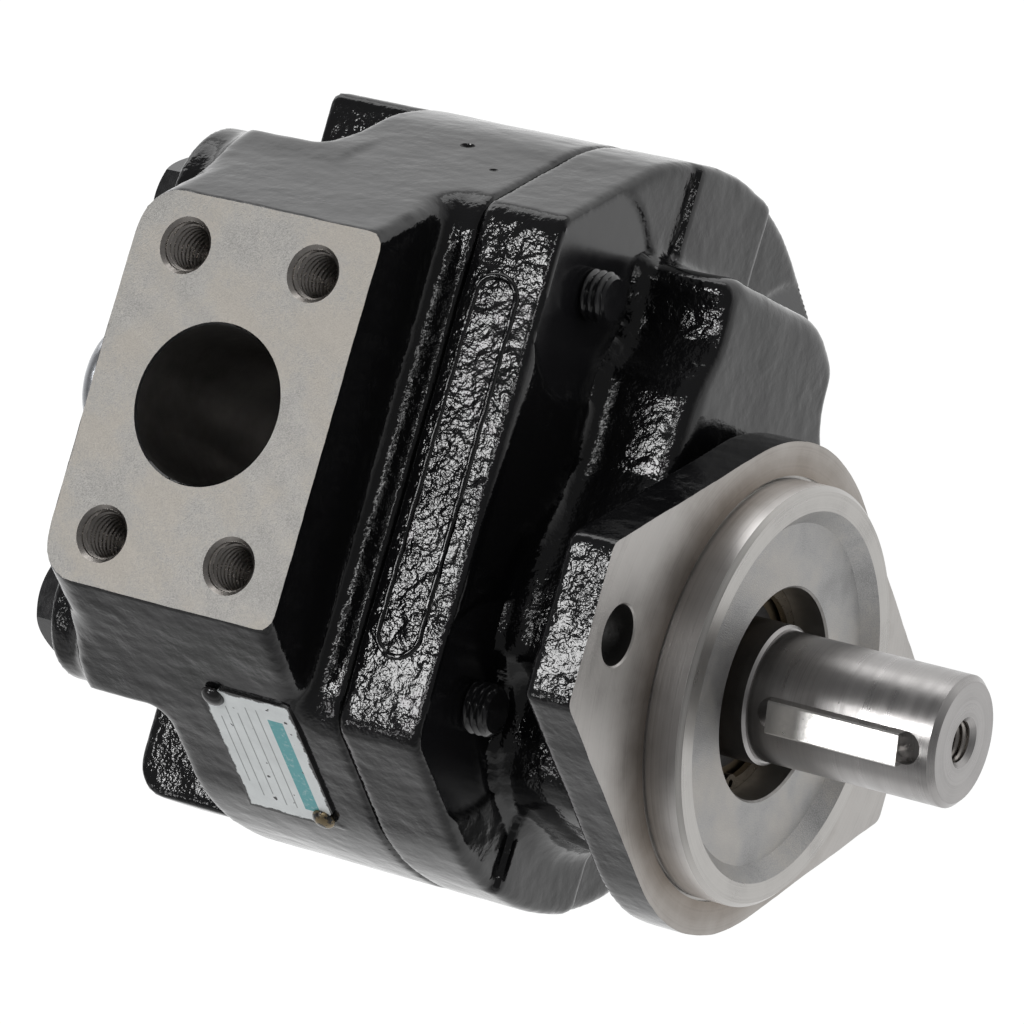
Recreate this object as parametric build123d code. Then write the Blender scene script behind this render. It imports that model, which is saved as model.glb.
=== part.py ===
from build123d import *
import math
import os

# External gear pump with a two-bolt mounting flange.
# Axes: X = drive shaft axis, positive out of the shaft end. Z = outward normal
# of the inlet port. Y = from the drive shaft towards the driven gear.
# Origin: shaft axis in the mounting face of the flange. All millimetres.

# ---- driving dimensions ---------------------------------------------------
centre_dist = 54.0          # between the two gear axes
mid_y = centre_dist / 2

# flange and pilot
pilot_r = 50.8
pilot_h = 9.3
pilot_chamfer = 1.1
recess_r = 44.9
recess_floor_r = 41.4
recess_floor_x = 5.6
flange_t = 12.4
flange_half = 86.8
flange_round_r = 60.3
flange_line_dist = 59.8
flange_bolt_z = 73.0
flange_bolt_r = 7.15

# casing
seam_x = -65.0
cover_face_x = -43.0      # machined seats of the casing screws
cover_cast_x = -42.3      # rough face around them
cover_step_x = -40.4      # raised middle band
band_half = 19.5
housing_x = -17.0
housing_half = 36.0
housing_top = 91.0
neck_r = 47.0
side_z = 72.4
body_break_x = -119.0
rear_x = -152.0
bolt_z = 51.0
bolt_dy = 49.75
bolt_spot_r = 26.0
bolt_well_r = 20.5
lug_half = 10.5
rear_dome_x = -172.0
rear_dome_r = 36.0

# ports
port_x = -107.0
pad_z = 97.2
pad_x0, pad_x1 = -140.2, -73.6
inlet_r = 19.05
inlet_dx, inlet_dy = 35.7, 69.9
outlet_r = 15.9
outlet_dx, outlet_dy = 30.2, 58.7
port_floor_z = 34.0          # where the full port bore ends
port_thread_r = 6.0
port_thread_depth = 27.0

# gears
teeth = 12
module = 4.5
pressure_angle = 25.0
gear_x0, gear_x1 = -138.0, -76.0
tip_r = 31.35
root_r = 21.6
tooth_thin = 0.12
journal_r = 17.0
cavity_r = 31.45
cavity_end_x = -149.0
plate_gap = 0.06

# bushes
bush_or = 22.0
bush_ir = 17.03
front_bush_x0, front_bush_x1 = -64.5, -33.0
rear_bush_x0, rear_bush_x1 = -169.0, -149.5

# shaft
shaft_r = 15.875
seal_land_r = 17.0
shoulder_x = 7.0
shaft_end_x = 55.9
shaft_chamfer = 1.4
key_w = 7.94
key_x0, key_x1 = 13.9, 48.3
slot_x0, slot_x1 = 9.8, 52.4
key_top = 19.3
key_floor = 11.9
end_thread_r = 5.0
end_thread_depth = 24.0

# shaft seal
seal_bore_r = 25.75
seal_x0, seal_x1 = -16.0, -6.0
ring_x0, ring_x1 = -5.0, -3.2
cavity_bore_r = 22.0

# casing screws
screw_r = 6.35
screw_hole_r = 6.7
screw_head_af = 22.2
screw_head_h = 8.6
screw_end_x = -36.6

YZ = Plane.YZ


def at(x):
    return YZ.offset(x)


def cyl(x0, x1, r, y=0.0, z=0.0):
    """Cylinder along X."""
    return extrude(at(x0) * Pos(y, z) * Circle(r), x1 - x0)


def cone(x0, x1, r0, r1, y=0.0, z=0.0):
    c = Cone(r0, r1, x1 - x0, align=(Align.CENTER, Align.CENTER, Align.MIN))
    return Pos(x0, y, z) * Rot(0, 90, 0) * c


def cylz(x, y, z0, z1, r):
    c = Cylinder(r, abs(z1 - z0), align=(Align.CENTER, Align.CENTER, Align.MIN))
    return Pos(x, y, min(z0, z1)) * c


def conez(x, y, z0, z1, r0, r1):
    """Cone frustum along Z, r0 at z0 and r1 at z1."""
    return Pos(x, y, z0) * Cone(r0, r1, z1 - z0, align=(
        Align.CENTER, Align.CENTER, Align.MIN))


def box(x0, x1, y0, y1, z0, z1):
    return Pos((x0 + x1) / 2, (y0 + y1) / 2, (z0 + z1) / 2) * Box(
        abs(x1 - x0), abs(y1 - y0), abs(z1 - z0))


def one(s):
    """The single solid in a result."""
    sol = s.solids()
    sol = sorted(sol, key=lambda a: -a.volume)
    return sol[0]


def try_fillet(s, edges, r):
    for k in (1.0, 0.7, 0.45):
        try:
            out = fillet(edges, r * k)
            if out.is_valid and len(out.solids()) == 1:
                return out
        except Exception:
            pass
    return s


# ---- casing outline -------------------------------------------------------
# half outline as (distance along z, height above mid_y); mirrored both ways
top_pts = [(0.0, 92.0), (17.0, 90.4), (28.0, 87.8), (37.8, 83.9), (46.7, 78.5)]
facet_slope = 0.612
facet_a = (46.7, 78.5)


def facet_y(z):
    return facet_a[1] - facet_slope * (z - facet_a[0])


def outline(zmax, corner):
    """Casing outline face in the YZ plane, facets carried out to z = zmax."""
    yc = facet_y(zmax)
    pts_t = [(mid_y + h, z) for z, h in reversed(top_pts[1:])] + \
            [(mid_y + 92.0, 0.0)] + [(mid_y + h, -z) for z, h in top_pts[1:]]
    pts_b = [(mid_y - h, -z) for z, h in reversed(top_pts[1:])] + \
            [(mid_y - 92.0, 0.0)] + [(mid_y - h, z) for z, h in top_pts[1:]]
    t0 = (facet_slope, -1.0)
    t1 = (-facet_slope, -1.0)
    top = Spline(*pts_t, tangents=[t0, t1])
    bot = Spline(*pts_b, tangents=[(-facet_slope, 1.0), (facet_slope, 1.0)])
    a = (mid_y + yc, zmax)
    b = (mid_y + yc, -zmax)
    c = (mid_y - yc, -zmax)
    d = (mid_y - yc, zmax)
    w = Wire([*(top.edges()),
              Line(pts_t[-1], b), Line(b, c), Line(c, pts_b[0]),
              *(bot.edges()),
              Line(pts_b[-1], d), Line(d, a), Line(a, pts_t[0])])
    f = Face(w)
    vs = [v for v in f.vertices() if abs(abs(v.Y) - zmax) < 1e-4]
    return fillet(vs, corner) if corner > 0 else f


main_face = outline(side_z, 6.0)
pad_face = outline(pad_z, 0.0)


def prism(face, x0, x1):
    return extrude(at(x0) * face, x1 - x0, dir=(1, 0, 0))


bolts = [(mid_y + sy * bolt_dy, sz * bolt_z) for sy in (1, -1) for sz in (1, -1)]
axes = [0.0, centre_dist]

# ---- pump body ------------------------------------------------------------
body = prism(main_face, body_break_x, seam_x)
# pads: the outline carried out to the port faces
pad = prism(pad_face, pad_x0, pad_x1)


def pad_corners(x):
    return [e for e in pad.edges().filter_by(GeomType.LINE)
            if abs(e.center().X - x) < 0.1 and abs(e.center().Z) > 55
            and abs(e.tangent_at(0.5).X) < 0.01 and abs(e.tangent_at(0.5).Y) > 0.3
            and abs(e.tangent_at(0.5).Z) > 0.3]


pad = fillet(pad_corners(pad_x0), 11.0)
pad = fillet(pad_corners(pad_x1), 3.5)
pad_cut = pad
pad_side = pad_cut & (box(pad_x0 - 1, pad_x1 + 1, -200, 250, 60, 120) +
                      box(pad_x0 - 1, pad_x1 + 1, -200, 250, -120, -60))
core = extrude(at(rear_x) * Pos(mid_y, 0) * RectangleRounded(120, 126, 20),
               body_break_x - rear_x + 5)
side_core = box(pad_x0 + 2, body_break_x + 5, mid_y - 52, mid_y + 52,
                -side_z, side_z)
body = body + core + side_core
for y, z in bolts:
    up = y > mid_y
    body = body + cyl(rear_x, body_break_x + 5, 20.0 if up else 17.7,
                      y + (1.2 if up else 0.0),
                      z - math.copysign(2.5 if up else 0.0, z))
# rear mounting lugs, a stretch of the outline itself
lug = prism(main_face, rear_x - 0.5, body_break_x + 5) & box(
    rear_x - 0.5, body_break_x + 5, mid_y - 89.5, 250, -lug_half, lug_half)
le = [e for e in lug.edges() if abs(e.center().X - (rear_x - 0.5)) < 0.1
      and abs(e.center().Y - mid_y) > 60]
lug = try_fillet(lug, le, 4.5) if len(lug.solids()) == 1 else lug
body = body + lug
for s in pad_side.solids():
    body = body + s
# rear bearing housing over both axes
dome = extrude(at(rear_dome_x) * Pos(mid_y, 0) *
               SlotCenterToCenter(centre_dist, 2 * rear_dome_r),
               rear_x - rear_dome_x + 4)
dome = try_fillet(dome, dome.faces().sort_by(Axis.X)[0].edges(), 5.0)
body = body + dome
body = one(body)

# gear chamber, ports, bearings
for y in axes:
    body = body - cyl(cavity_end_x, seam_x + 1, cavity_r, y)
    body = body - cyl(rear_bush_x0, cavity_end_x + 1, bush_or, y)
    body = body - cyl(rear_bush_x0 - 1.5, rear_bush_x0 + 1, 15.0, y)
# each port narrows just outside the gears
body = body - cylz(port_x, mid_y, port_floor_z, pad_z + 1, inlet_r)
body = body - cylz(port_x, mid_y, 12.0, port_floor_z + 1, inlet_r - 2.0)
body = body - cylz(port_x, mid_y, -pad_z - 1, -port_floor_z, outlet_r)
body = body - cylz(port_x, mid_y, -port_floor_z - 1, -12.0, outlet_r - 2.0)
for dx in (-0.5, 0.5):
    for dy in (-0.5, 0.5):
        body = body - cylz(port_x + dx * inlet_dx, mid_y + dy * inlet_dy,
                           pad_z - port_thread_depth, pad_z + 1, port_thread_r)
        body = body - conez(port_x + dx * inlet_dx, mid_y + dy * inlet_dy,
                            pad_z - 0.9, pad_z + 0.01, port_thread_r, 6.9)
        body = body - cylz(port_x + dx * outlet_dx, mid_y + dy * outlet_dy,
                           -pad_z - 1, -pad_z + 22.0, 5.5)
        body = body - conez(port_x + dx * outlet_dx, mid_y + dy * outlet_dy,
                            -pad_z - 0.01, -pad_z + 0.9, 6.4, 5.5)
# clearance holes for the casing screws
for y, z in bolts:
    body = body - cyl(rear_x - 5, seam_x + 1, screw_hole_r, y, z)
# dowel holes on two opposite sides of the chamber
dowels = [(mid_y, 58.0), (mid_y, -58.0)]
dowel_r = 4.0
for y, z in dowels:
    body = body - cyl(seam_x - 12.0, seam_x + 1, dowel_r, y, z)
# rear auxiliary port, plugged
plug_y, plug_z = mid_y + 4.0, 52.0
body = body - cyl(rear_x - 1, rear_x + 16.0, 11.0, plug_y, plug_z)
# nameplate seat: two rivet holes square to the lower facet
facet_ang = math.degrees(math.atan(facet_slope))
np_x, np_w, np_l, np_t = -89.6, 25.4, 44.6, 0.8
np_z = 55.4


def on_facet(shape, lift=0.0):
    """Place a shape drawn on XY (x along X, y along the facet) on the
    lower inlet-side facet, its +Z pointing out of the casing."""
    yf = mid_y - facet_y(np_z)
    n = Vector(0, -1.0, facet_slope).normalized()
    t = Vector(0, facet_slope, 1.0).normalized()
    o = Vector(np_x, yf, np_z) + n * lift
    pl = Plane(origin=o, x_dir=Vector(1, 0, 0), z_dir=n)
    return pl * shape


rivet_r = 1.55
body = body - on_facet(Pos(0, 0, 0) * Box(np_w + 0.6, np_l + 0.6, 3.0, align=(
    Align.CENTER, Align.CENTER, Align.MIN)))
rivet_sites = [(-9.3, 19.4), (9.3, -19.4)]
fd = 1.0
for rx, ry in rivet_sites:
    body = body - on_facet(Pos(rx, ry, -9.0) * Cylinder(
        rivet_r, 9.2, align=(Align.CENTER, Align.CENTER, Align.MIN)))
body = one(body)

# ---- front cover ----------------------------------------------------------
cover = prism(main_face, seam_x, cover_cast_x)
ce = [e for e in cover.faces().sort_by(Axis.X)[-1].edges()]
cover = try_fillet(cover, ce, 2.5)
band = prism(main_face, cover_cast_x - 6, cover_step_x) & box(
    cover_cast_x - 6, cover_step_x, -200, 250, -band_half, band_half)
cover = cover + one(band)
for y, z in bolts:
    cover = cover - cyl(cover_face_x, cover_step_x + 2, bolt_spot_r, y, z)
# shared housing for the two front bearings, standing forward of the band
hs = Face(Wire(Polyline((-40, housing_half), (housing_top, housing_half),
                        (housing_top, -housing_half - 2.5),
                        (-40, -housing_half - 2.5), close=True).edges()))
hs = fillet([v for v in hs.vertices() if v.X > 0 and v.Y > 0], 11.0)
hs = fillet([v for v in hs.vertices() if v.X > 0 and v.Y < 0], 27.0)
hs = fillet([v for v in hs.vertices() if v.X < -39], 14.0)
housing = prism(hs, cover_face_x - 2, housing_x)
housing = try_fillet(housing, housing.faces().sort_by(Axis.X)[-1].edges(), 4.0)
for y, z in bolts:
    housing = housing - cyl(cover_face_x - 3, housing_x + 1, bolt_well_r, y, z)
cover = cover + one(housing)
neck = cyl(cover_face_x - 2, -flange_t + 1, neck_r)
for y, z in bolts:
    neck = neck - cyl(cover_face_x - 3, 1, bolt_well_r - 6.0, y, z)
cover = cover + neck
# flange: round centre, two straight flanks each side, cut square at the ends


def flange_face():
    ang = math.radians(30.0)
    n = (math.cos(ang), math.sin(ang))
    ze = flange_half
    ye = (flange_line_dist - ze * n[1]) / n[0]
    # tangent points on the centre circle
    tz, ty = flange_line_dist * n[1], flange_line_dist * n[0]
    p = [(ty, tz), (ye, ze), (-ye, ze), (-ty, tz), (-ty, -tz), (-ye, -ze),
         (ye, -ze), (ty, -tz)]
    f = Face(Wire([Line(p[0], p[1]), Line(p[1], p[2]), Line(p[2], p[3]),
                   ThreePointArc(p[3], (-flange_line_dist - 0.0, 0), p[4]),
                   Line(p[4], p[5]), Line(p[5], p[6]), Line(p[6], p[7]),
                   ThreePointArc(p[7], (flange_line_dist, 0), p[0])]))
    vs = [v for v in f.vertices() if abs(abs(v.Y) - ze) < 1e-3]
    return fillet(vs, 3.0)


cover = cover + prism(flange_face(), -flange_t, 0.0)
pilot = cyl(-1.0, pilot_h, pilot_r)
pilot = chamfer(pilot.faces().sort_by(Axis.X)[-1].edges(), pilot_chamfer)
cover = cover + pilot
# relief groove at the pilot's foot
cover = cover - (cyl(-0.8, 0.01, pilot_r + 1.3) - cyl(-1, 0.2, pilot_r))
# tapered recess in the pilot
cover = cover - cone(recess_floor_x, pilot_h + 0.01, recess_floor_r, recess_r)
# seal bore and what lies behind it
cover = cover - cyl(seal_x0, recess_floor_x + 1, seal_bore_r)
cover = cover - cyl(ring_x0, ring_x1, seal_bore_r + 1.4)
cover = cover - cyl(front_bush_x1 - 1, seal_x0 + 1, 20.5)
for y in axes:
    cover = cover - cyl(seam_x - 1, front_bush_x1, bush_or, y)
cover = cover - cyl(front_bush_x1 - 1, front_bush_x1 + 4.0, 15.0, centre_dist)
# lead-in to the bearings from the gear chamber
for y in axes:
    cover = cover - cyl(seam_x - 1, seam_x + 0.5, bush_or + 0.6, y)
# flange bolt holes with room for the bolt head behind
for z in (flange_bolt_z, -flange_bolt_z):
    cover = cover - cyl(-flange_t - 1, 1, flange_bolt_r, 0, z)
    cover = cover - cyl(-flange_t - 12, -flange_t, 15.0, 0, z)
# tapped holes for the casing screws, right through the cover
for y, z in bolts:
    cover = cover - cyl(seam_x - 1, cover_face_x + 1, screw_r, y, z)
for y, z in dowels:
    cover = cover - cyl(seam_x - 1, seam_x + 10.0, dowel_r, y, z)
# casting-letter panel on the side of the cover: a raised oval rim, left bare
rim_x, rim_y0, rim_y1, rim_r = -55.3, -18.3, 74.2, 6.2
rim = extrude(Plane(origin=(rim_x, mid_y + 1.2, side_z - 1.0), x_dir=(0, 1, 0),
                    z_dir=(0, 0, 1)) *
              SlotCenterToCenter(rim_y1 - rim_y0 - 2 * rim_r, 2 * rim_r), 2.1)
rim_in = extrude(Plane(origin=(rim_x, mid_y + 1.2, side_z), x_dir=(0, 1, 0),
                       z_dir=(0, 0, 1)) *
                 SlotCenterToCenter(rim_y1 - rim_y0 - 2 * rim_r,
                                    2 * rim_r - 2.6), 3)
cover = cover + (rim - rim_in)
# groove for the casing seal, a racetrack round both gear bores
seal_rin, seal_w, seal_d = 36.0, 3.0, 2.2


def track(r_in, r_out, x0, x1):
    o = extrude(at(x0) * Pos(mid_y, 0) *
                SlotCenterToCenter(centre_dist, 2 * r_out), x1 - x0)
    i = extrude(at(x0 - 1) * Pos(mid_y, 0) *
                SlotCenterToCenter(centre_dist, 2 * r_in), x1 - x0 + 2)
    return o - i


cover = cover - track(seal_rin, seal_rin + seal_w, seam_x - 1, seam_x + seal_d)
cover = one(cover)
body_seal = one(track(seal_rin, seal_rin + seal_w, seam_x, seam_x + seal_d))

# ---- gears ----------------------------------------------------------------
def gear_face(n, m, pa, r_tip, r_root, thin):
    a = math.radians(pa)
    rp = m * n / 2
    rb = rp * math.cos(a)
    inv = math.tan(a) - a
    half = math.pi / (2 * n) - thin / (2 * rp)
    def pt(r, sgn, base):
        if r <= rb:
            ang = half + inv
        else:
            t = math.acos(rb / r)
            ang = half + inv - (math.tan(t) - t)
        th = base + sgn * ang
        return (r * math.cos(th), r * math.sin(th))
    edges = []
    steps = 9
    rs = [rb + (r_tip - rb) * (i / steps) ** 1.3 for i in range(steps + 1)]
    pts = []
    for k in range(n):
        base = 2 * math.pi * k / n
        right = [pt(r, -1, base) for r in rs]
        left = [pt(r, 1, base) for r in reversed(rs)]
        ra = -(half + inv)
        f0 = (r_root * math.cos(base + ra), r_root * math.sin(base + ra))
        f1 = (r_root * math.cos(base - ra), r_root * math.sin(base - ra))
        edges.append(Line(f0, right[0]))
        edges.append(Spline(*right))
        mid = (r_tip * math.cos(base), r_tip * math.sin(base))
        edges.append(ThreePointArc(right[-1], mid, left[0]))
        edges.append(Spline(*left))
        edges.append(Line(left[-1], f1))
        nb = base + 2 * math.pi / n
        nf = (r_root * math.cos(nb + ra), r_root * math.sin(nb + ra))
        mb = base + math.pi / n
        mm = (r_root * math.cos(mb), r_root * math.sin(mb))
        edges.append(ThreePointArc(f1, mm, nf))
    ws = Wire([e for w in edges for e in w.edges()])
    return Face(ws)


gf = gear_face(teeth, module, pressure_angle, tip_r, root_r, tooth_thin)
gear_a = prism(gf, gear_x0, gear_x1)
gear_b = prism(Pos(centre_dist, 0) * Rot(0, 0, 180.0 / teeth) * gf,
               gear_x0, gear_x1)

rear_j = rear_bush_x0 + 0.5


def ended(s, c_lo=0.0, c_hi=0.0):
    """Chamfer the rim of a plain cylinder at either end."""
    if c_hi:
        s = chamfer(s.faces().sort_by(Axis.X)[-1].edges(), c_hi)
    if c_lo:
        s = chamfer(s.faces().sort_by(Axis.X)[0].edges(), c_lo)
    return s


drive = one(gear_a)
drive = drive + ended(cyl(rear_j, gear_x0 + 1, journal_r), c_lo=1.0)
drive = drive + ended(cyl(gear_x1 - 1, shoulder_x, seal_land_r), c_hi=0.7)
drive = drive + ended(cyl(shoulder_x - 1, shaft_end_x, shaft_r), c_hi=shaft_chamfer)
# keyway: round-ended slot on the inlet side of the shaft
key_ang = KEY = 0.0
slot = Plane(origin=((slot_x0 + slot_x1) / 2, 0, key_floor),
             x_dir=(1, 0, 0), z_dir=(0, 0, 1)) * \
    SlotOverall(slot_x1 - slot_x0, key_w)
slot = extrude(slot, 10.0)
key = Plane(origin=((key_x0 + key_x1) / 2, 0, key_floor), x_dir=(1, 0, 0),
            z_dir=(0, 0, 1)) * Rectangle(key_x1 - key_x0, key_w)
key = extrude(key, key_top - key_floor)
key_roll = 20.0
slot = Rot(key_roll, 0, 0) * slot
key = Rot(key_roll, 0, 0) * key
drive = drive - slot
drive = drive - cyl(shaft_end_x - end_thread_depth, shaft_end_x + 1, end_thread_r)
drive = drive - cone(shaft_end_x - 1.2, shaft_end_x + 0.01, end_thread_r, 6.2)
drive = one(drive)
key = one(key)
key = chamfer([e for e in key.edges().filter_by(Axis.X)], 0.4)
key = one(key & (Rot(key_roll, 0, 0) * extrude(
    Plane(origin=((slot_x0 + slot_x1) / 2, 0, key_floor), x_dir=(1, 0, 0),
          z_dir=(0, 0, 1)) * SlotOverall(slot_x1 - slot_x0, key_w), 12.0)))

driven = one(gear_b)
driven = driven + ended(cyl(rear_j, gear_x0 + 1, journal_r, centre_dist), c_lo=1.0)
driven = driven + ended(cyl(gear_x1 - 1, front_bush_x1 - 0.5, journal_r, centre_dist),
                        c_hi=1.0)
driven = one(driven)


# ---- bushes ---------------------------------------------------------------
def bush(x0, x1, y):
    b = cyl(x0, x1, bush_or, y) - cyl(x0 - 1, x1 + 1, bush_ir, y)
    return one(b)


b_fd = bush(front_bush_x0, front_bush_x1, 0.0)
b_fv = bush(front_bush_x0, front_bush_x1, centre_dist)
b_rd = bush(rear_bush_x0, rear_bush_x1, 0.0)
b_rv = bush(rear_bush_x0, rear_bush_x1, centre_dist)


# ---- thrust plates with their balance seals -------------------------------
def plate(x0, x1, seal_side):
    p = cyl(x0, x1, cavity_r - 0.05, 0) + cyl(x0, x1, cavity_r - 0.05, centre_dist)
    for y in axes:
        p = p - cyl(x0 - 1, x1 + 1, journal_r + 0.15, y)
    # relief pockets beside the mesh on both sides
    gx = (x1 - 1.5, x1 + 1) if seal_side < 0 else (x0 - 1, x0 + 1.5)
    for z in (13.0, -13.0):
        p = p - box(gx[0], gx[1], mid_y - 5, mid_y + 5, z - 4, z + 4)
    return p


def balance(x0, x1):
    """Figure-eight rubber ring round both journals."""
    o = cyl(x0, x1, 27.6, 0) + cyl(x0, x1, 27.6, centre_dist)
    i = cyl(x0 - 1, x1 + 1, 25.2, 0) + cyl(x0 - 1, x1 + 1, 25.2, centre_dist)
    o = o + box(x0, x1, mid_y - 4, mid_y + 4, -7.0, 7.0)
    i = i + box(x0 - 1, x1 + 1, mid_y - 8, mid_y + 8, -4.6, 4.6)
    return one(o - i)


fp_x0, fp_x1 = gear_x1 + plate_gap, seam_x - 0.04
rp_x0, rp_x1 = cavity_end_x + 0.04, gear_x0 - plate_gap
front_plate = plate(fp_x0, fp_x1, 1)
rear_plate = plate(rp_x0, rp_x1, -1)
front_bal = balance(fp_x1 - 1.8, fp_x1)
rear_bal = balance(rp_x0, rp_x0 + 1.8)
front_plate = one(front_plate - front_bal)
rear_plate = one(rear_plate - rear_bal)

# ---- shaft seal -----------------------------------------------------------
seal_case = cyl(seal_x0, seal_x1, seal_bore_r - 0.0)
seal_case = seal_case - cyl(seal_x0 - 1, seal_x1 - 1.2, seal_bore_r - 1.5)
seal_case = one(seal_case - cyl(seal_x1 - 2, seal_x1 + 1, 20.6))
lip_r = seal_land_r + 0.02
lip = cyl(seal_x0 + 1.0, seal_x1, 20.6) + cyl(seal_x1 - 3.2, seal_x1 - 1.2, seal_bore_r - 1.5)
lip = lip - cyl(seal_x0 - 1, seal_x1 + 1, lip_r + 1.0)
lip = lip + (cyl(seal_x0 + 2.2, seal_x0 + 3.4, 19.0) - cyl(seal_x0, seal_x0 + 5, lip_r))
lip = lip + (cyl(seal_x1 - 0.8, seal_x1, 19.0) - cyl(seal_x1 - 2, seal_x1 + 1, lip_r))
spring_ring = Pos(seal_x0 + 2.8, 0, 0) * Rot(0, 90, 0) * Torus(20.6, 0.7)
lip = one(lip - spring_ring)
spring_ring = one(spring_ring)
# internal retaining ring with its gap
rr = cyl(ring_x0 + 0.05, ring_x1 - 0.05, seal_bore_r + 1.35) - cyl(ring_x0 - 1, ring_x1 + 1, 23.0)
rr = rr - box(ring_x0 - 1, ring_x1 + 1, -40, -10, -5.5, 5.5)
for s in (-1, 1):
    rr = rr + (cyl(ring_x0 + 0.05, ring_x1 - 0.05, 2.9, -23.2, s * 8.0)
               & cyl(ring_x0 - 1, ring_x1 + 1, seal_bore_r - 0.2))
    rr = rr - cyl(ring_x0 - 1, ring_x1 + 1, 1.0, -22.6, s * 8.0)
rr = one(rr)

# ---- casing screws, dowels, plug ------------------------------------------
def screw(y, z):
    s = cyl(rear_x, screw_end_x, screw_r - 0.02, y, z)
    s = chamfer(s.faces().sort_by(Axis.X)[-1].edges(), 1.0)
    h = extrude(at(rear_x - screw_head_h) * Pos(y, z) *
                RegularPolygon(screw_head_af / 2, 6, major_radius=False), screw_head_h)
    c = cone(rear_x - screw_head_h, rear_x - screw_head_h + 12.0, 11.2, 32.0, y, z)
    h = h & c
    w = cyl(rear_x - 0.6, rear_x, 10.8, y, z)
    return one(s + h + w)


screws = [screw(y, z) for y, z in bolts]
pins = []
for y, z in dowels:
    d = cyl(seam_x - 11.5, seam_x + 9.5, dowel_r, y, z)
    d = chamfer(d.edges().filter_by(GeomType.CIRCLE), 0.6)
    pins.append(one(d))
plug = cyl(rear_x + 2.5, rear_x + 14.0, 11.0, plug_y, plug_z)
plug_head = cyl(rear_x - 11.5, rear_x, 15.5, plug_y, plug_z)
plug_head = fillet(plug_head.faces().sort_by(Axis.X)[0].edges(), 4.0)
plug = plug + plug_head + cyl(rear_x - 1, rear_x + 3.0, 9.4, plug_y, plug_z)
plug = plug - extrude(at(rear_x - 12) * Pos(plug_y, plug_z) *
                      RegularPolygon(5.0, 6, major_radius=False), 8.0)
plug = one(plug)
plug_seal = one(cyl(rear_x, rear_x + 2.5, 11.0, plug_y, plug_z)
                - cyl(rear_x - 1, rear_x + 4, 9.4, plug_y, plug_z))

# ---- nameplate and rivets -------------------------------------------------
w2, l2, cc = np_w / 2, np_l / 2, 6.0
pl = Polyline((-w2, -l2), (w2 - cc, -l2), (w2, -l2 + cc), (w2, l2),
              (-w2 + cc, l2), (-w2, l2 - cc), close=True)
name_sk = make_face(pl.edges())
name = extrude(name_sk, np_t)
# rivets pass the two cut corners
rivs = []
for rx, ry in rivet_sites:
    name = name - Pos(rx, ry, -1) * Cylinder(rivet_r + 0.1, 4)
    rv = Cylinder(rivet_r, 8.0, align=(Align.CENTER, Align.CENTER, Align.MAX))
    rv = Pos(0, 0, np_t + 0.5) * rv
    hd = Sphere(3.0) & Pos(0, 0, 5) * Box(10, 10, 10)
    hd = Pos(0, 0, np_t) * scale(hd, by=(1, 1, 0.6))
    rv = Pos(rx, ry, 0) * (rv + hd)
    rivs.append(one(on_facet(rv)))
name = one(on_facet(name))

# ---- write ----------------------------------------------------------------
os.makedirs("parts", exist_ok=True)


def save(obj, name_):
    if isinstance(obj, list):
        obj = Compound(children=[o if isinstance(o, Solid) else one(o) for o in obj])
    export_step(obj, "parts/%s.step" % name_)
    try:
        print(name_, round(obj.volume, 1), obj.is_valid)
    except Exception:
        print(name_)


save(one(cover), "front_cover")
save(one(body), "pump_body")
save(one(drive), "drive_gear_shaft")
save(one(driven), "driven_gear_shaft")
save(one(key), "shaft_key")
save(b_fd, "front_drive_bush")
save(b_fv, "front_driven_bush")
save(b_rd, "rear_drive_bush")
save(b_rv, "rear_driven_bush")
save(front_plate, "front_thrust_plate")
save(rear_plate, "rear_thrust_plate")
save(front_bal, "front_balance_seal")
save(rear_bal, "rear_balance_seal")
save(body_seal, "casing_seal")
save(seal_case, "shaft_seal_case")
save(lip, "shaft_seal_lip")
save(spring_ring, "shaft_seal_spring")
save(rr, "seal_retaining_ring")
save(screws, "casing_screws")
save(pins, "dowel_pins")
save(plug, "rear_port_plug")
save(plug_seal, "rear_plug_seal")
save(name, "nameplate")
save(rivs, "nameplate_rivets")
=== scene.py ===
import math

import bmesh
import bpy
import numpy as np
from mathutils import Matrix, Vector, noise


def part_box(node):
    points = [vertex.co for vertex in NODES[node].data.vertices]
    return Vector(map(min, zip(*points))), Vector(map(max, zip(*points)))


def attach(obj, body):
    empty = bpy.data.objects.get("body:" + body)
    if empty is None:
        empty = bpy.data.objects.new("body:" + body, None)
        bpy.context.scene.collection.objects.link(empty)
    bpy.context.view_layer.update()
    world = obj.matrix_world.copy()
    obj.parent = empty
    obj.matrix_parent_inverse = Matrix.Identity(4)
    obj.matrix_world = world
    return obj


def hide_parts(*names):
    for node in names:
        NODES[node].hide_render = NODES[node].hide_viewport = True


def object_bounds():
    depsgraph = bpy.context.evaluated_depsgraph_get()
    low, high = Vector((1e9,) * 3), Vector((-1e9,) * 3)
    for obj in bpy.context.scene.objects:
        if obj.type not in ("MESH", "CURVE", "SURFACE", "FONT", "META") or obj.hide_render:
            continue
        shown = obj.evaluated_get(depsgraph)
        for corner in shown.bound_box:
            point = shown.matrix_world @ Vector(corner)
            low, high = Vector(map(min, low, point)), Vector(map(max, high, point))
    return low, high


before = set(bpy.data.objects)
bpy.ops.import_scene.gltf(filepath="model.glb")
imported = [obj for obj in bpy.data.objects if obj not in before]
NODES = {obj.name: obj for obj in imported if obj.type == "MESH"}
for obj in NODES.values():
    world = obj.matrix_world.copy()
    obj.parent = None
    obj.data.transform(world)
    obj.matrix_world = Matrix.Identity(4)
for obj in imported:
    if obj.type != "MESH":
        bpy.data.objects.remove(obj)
CAD_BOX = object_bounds()
MM = 0.001
D = bpy.data
SC = bpy.context.scene


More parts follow.
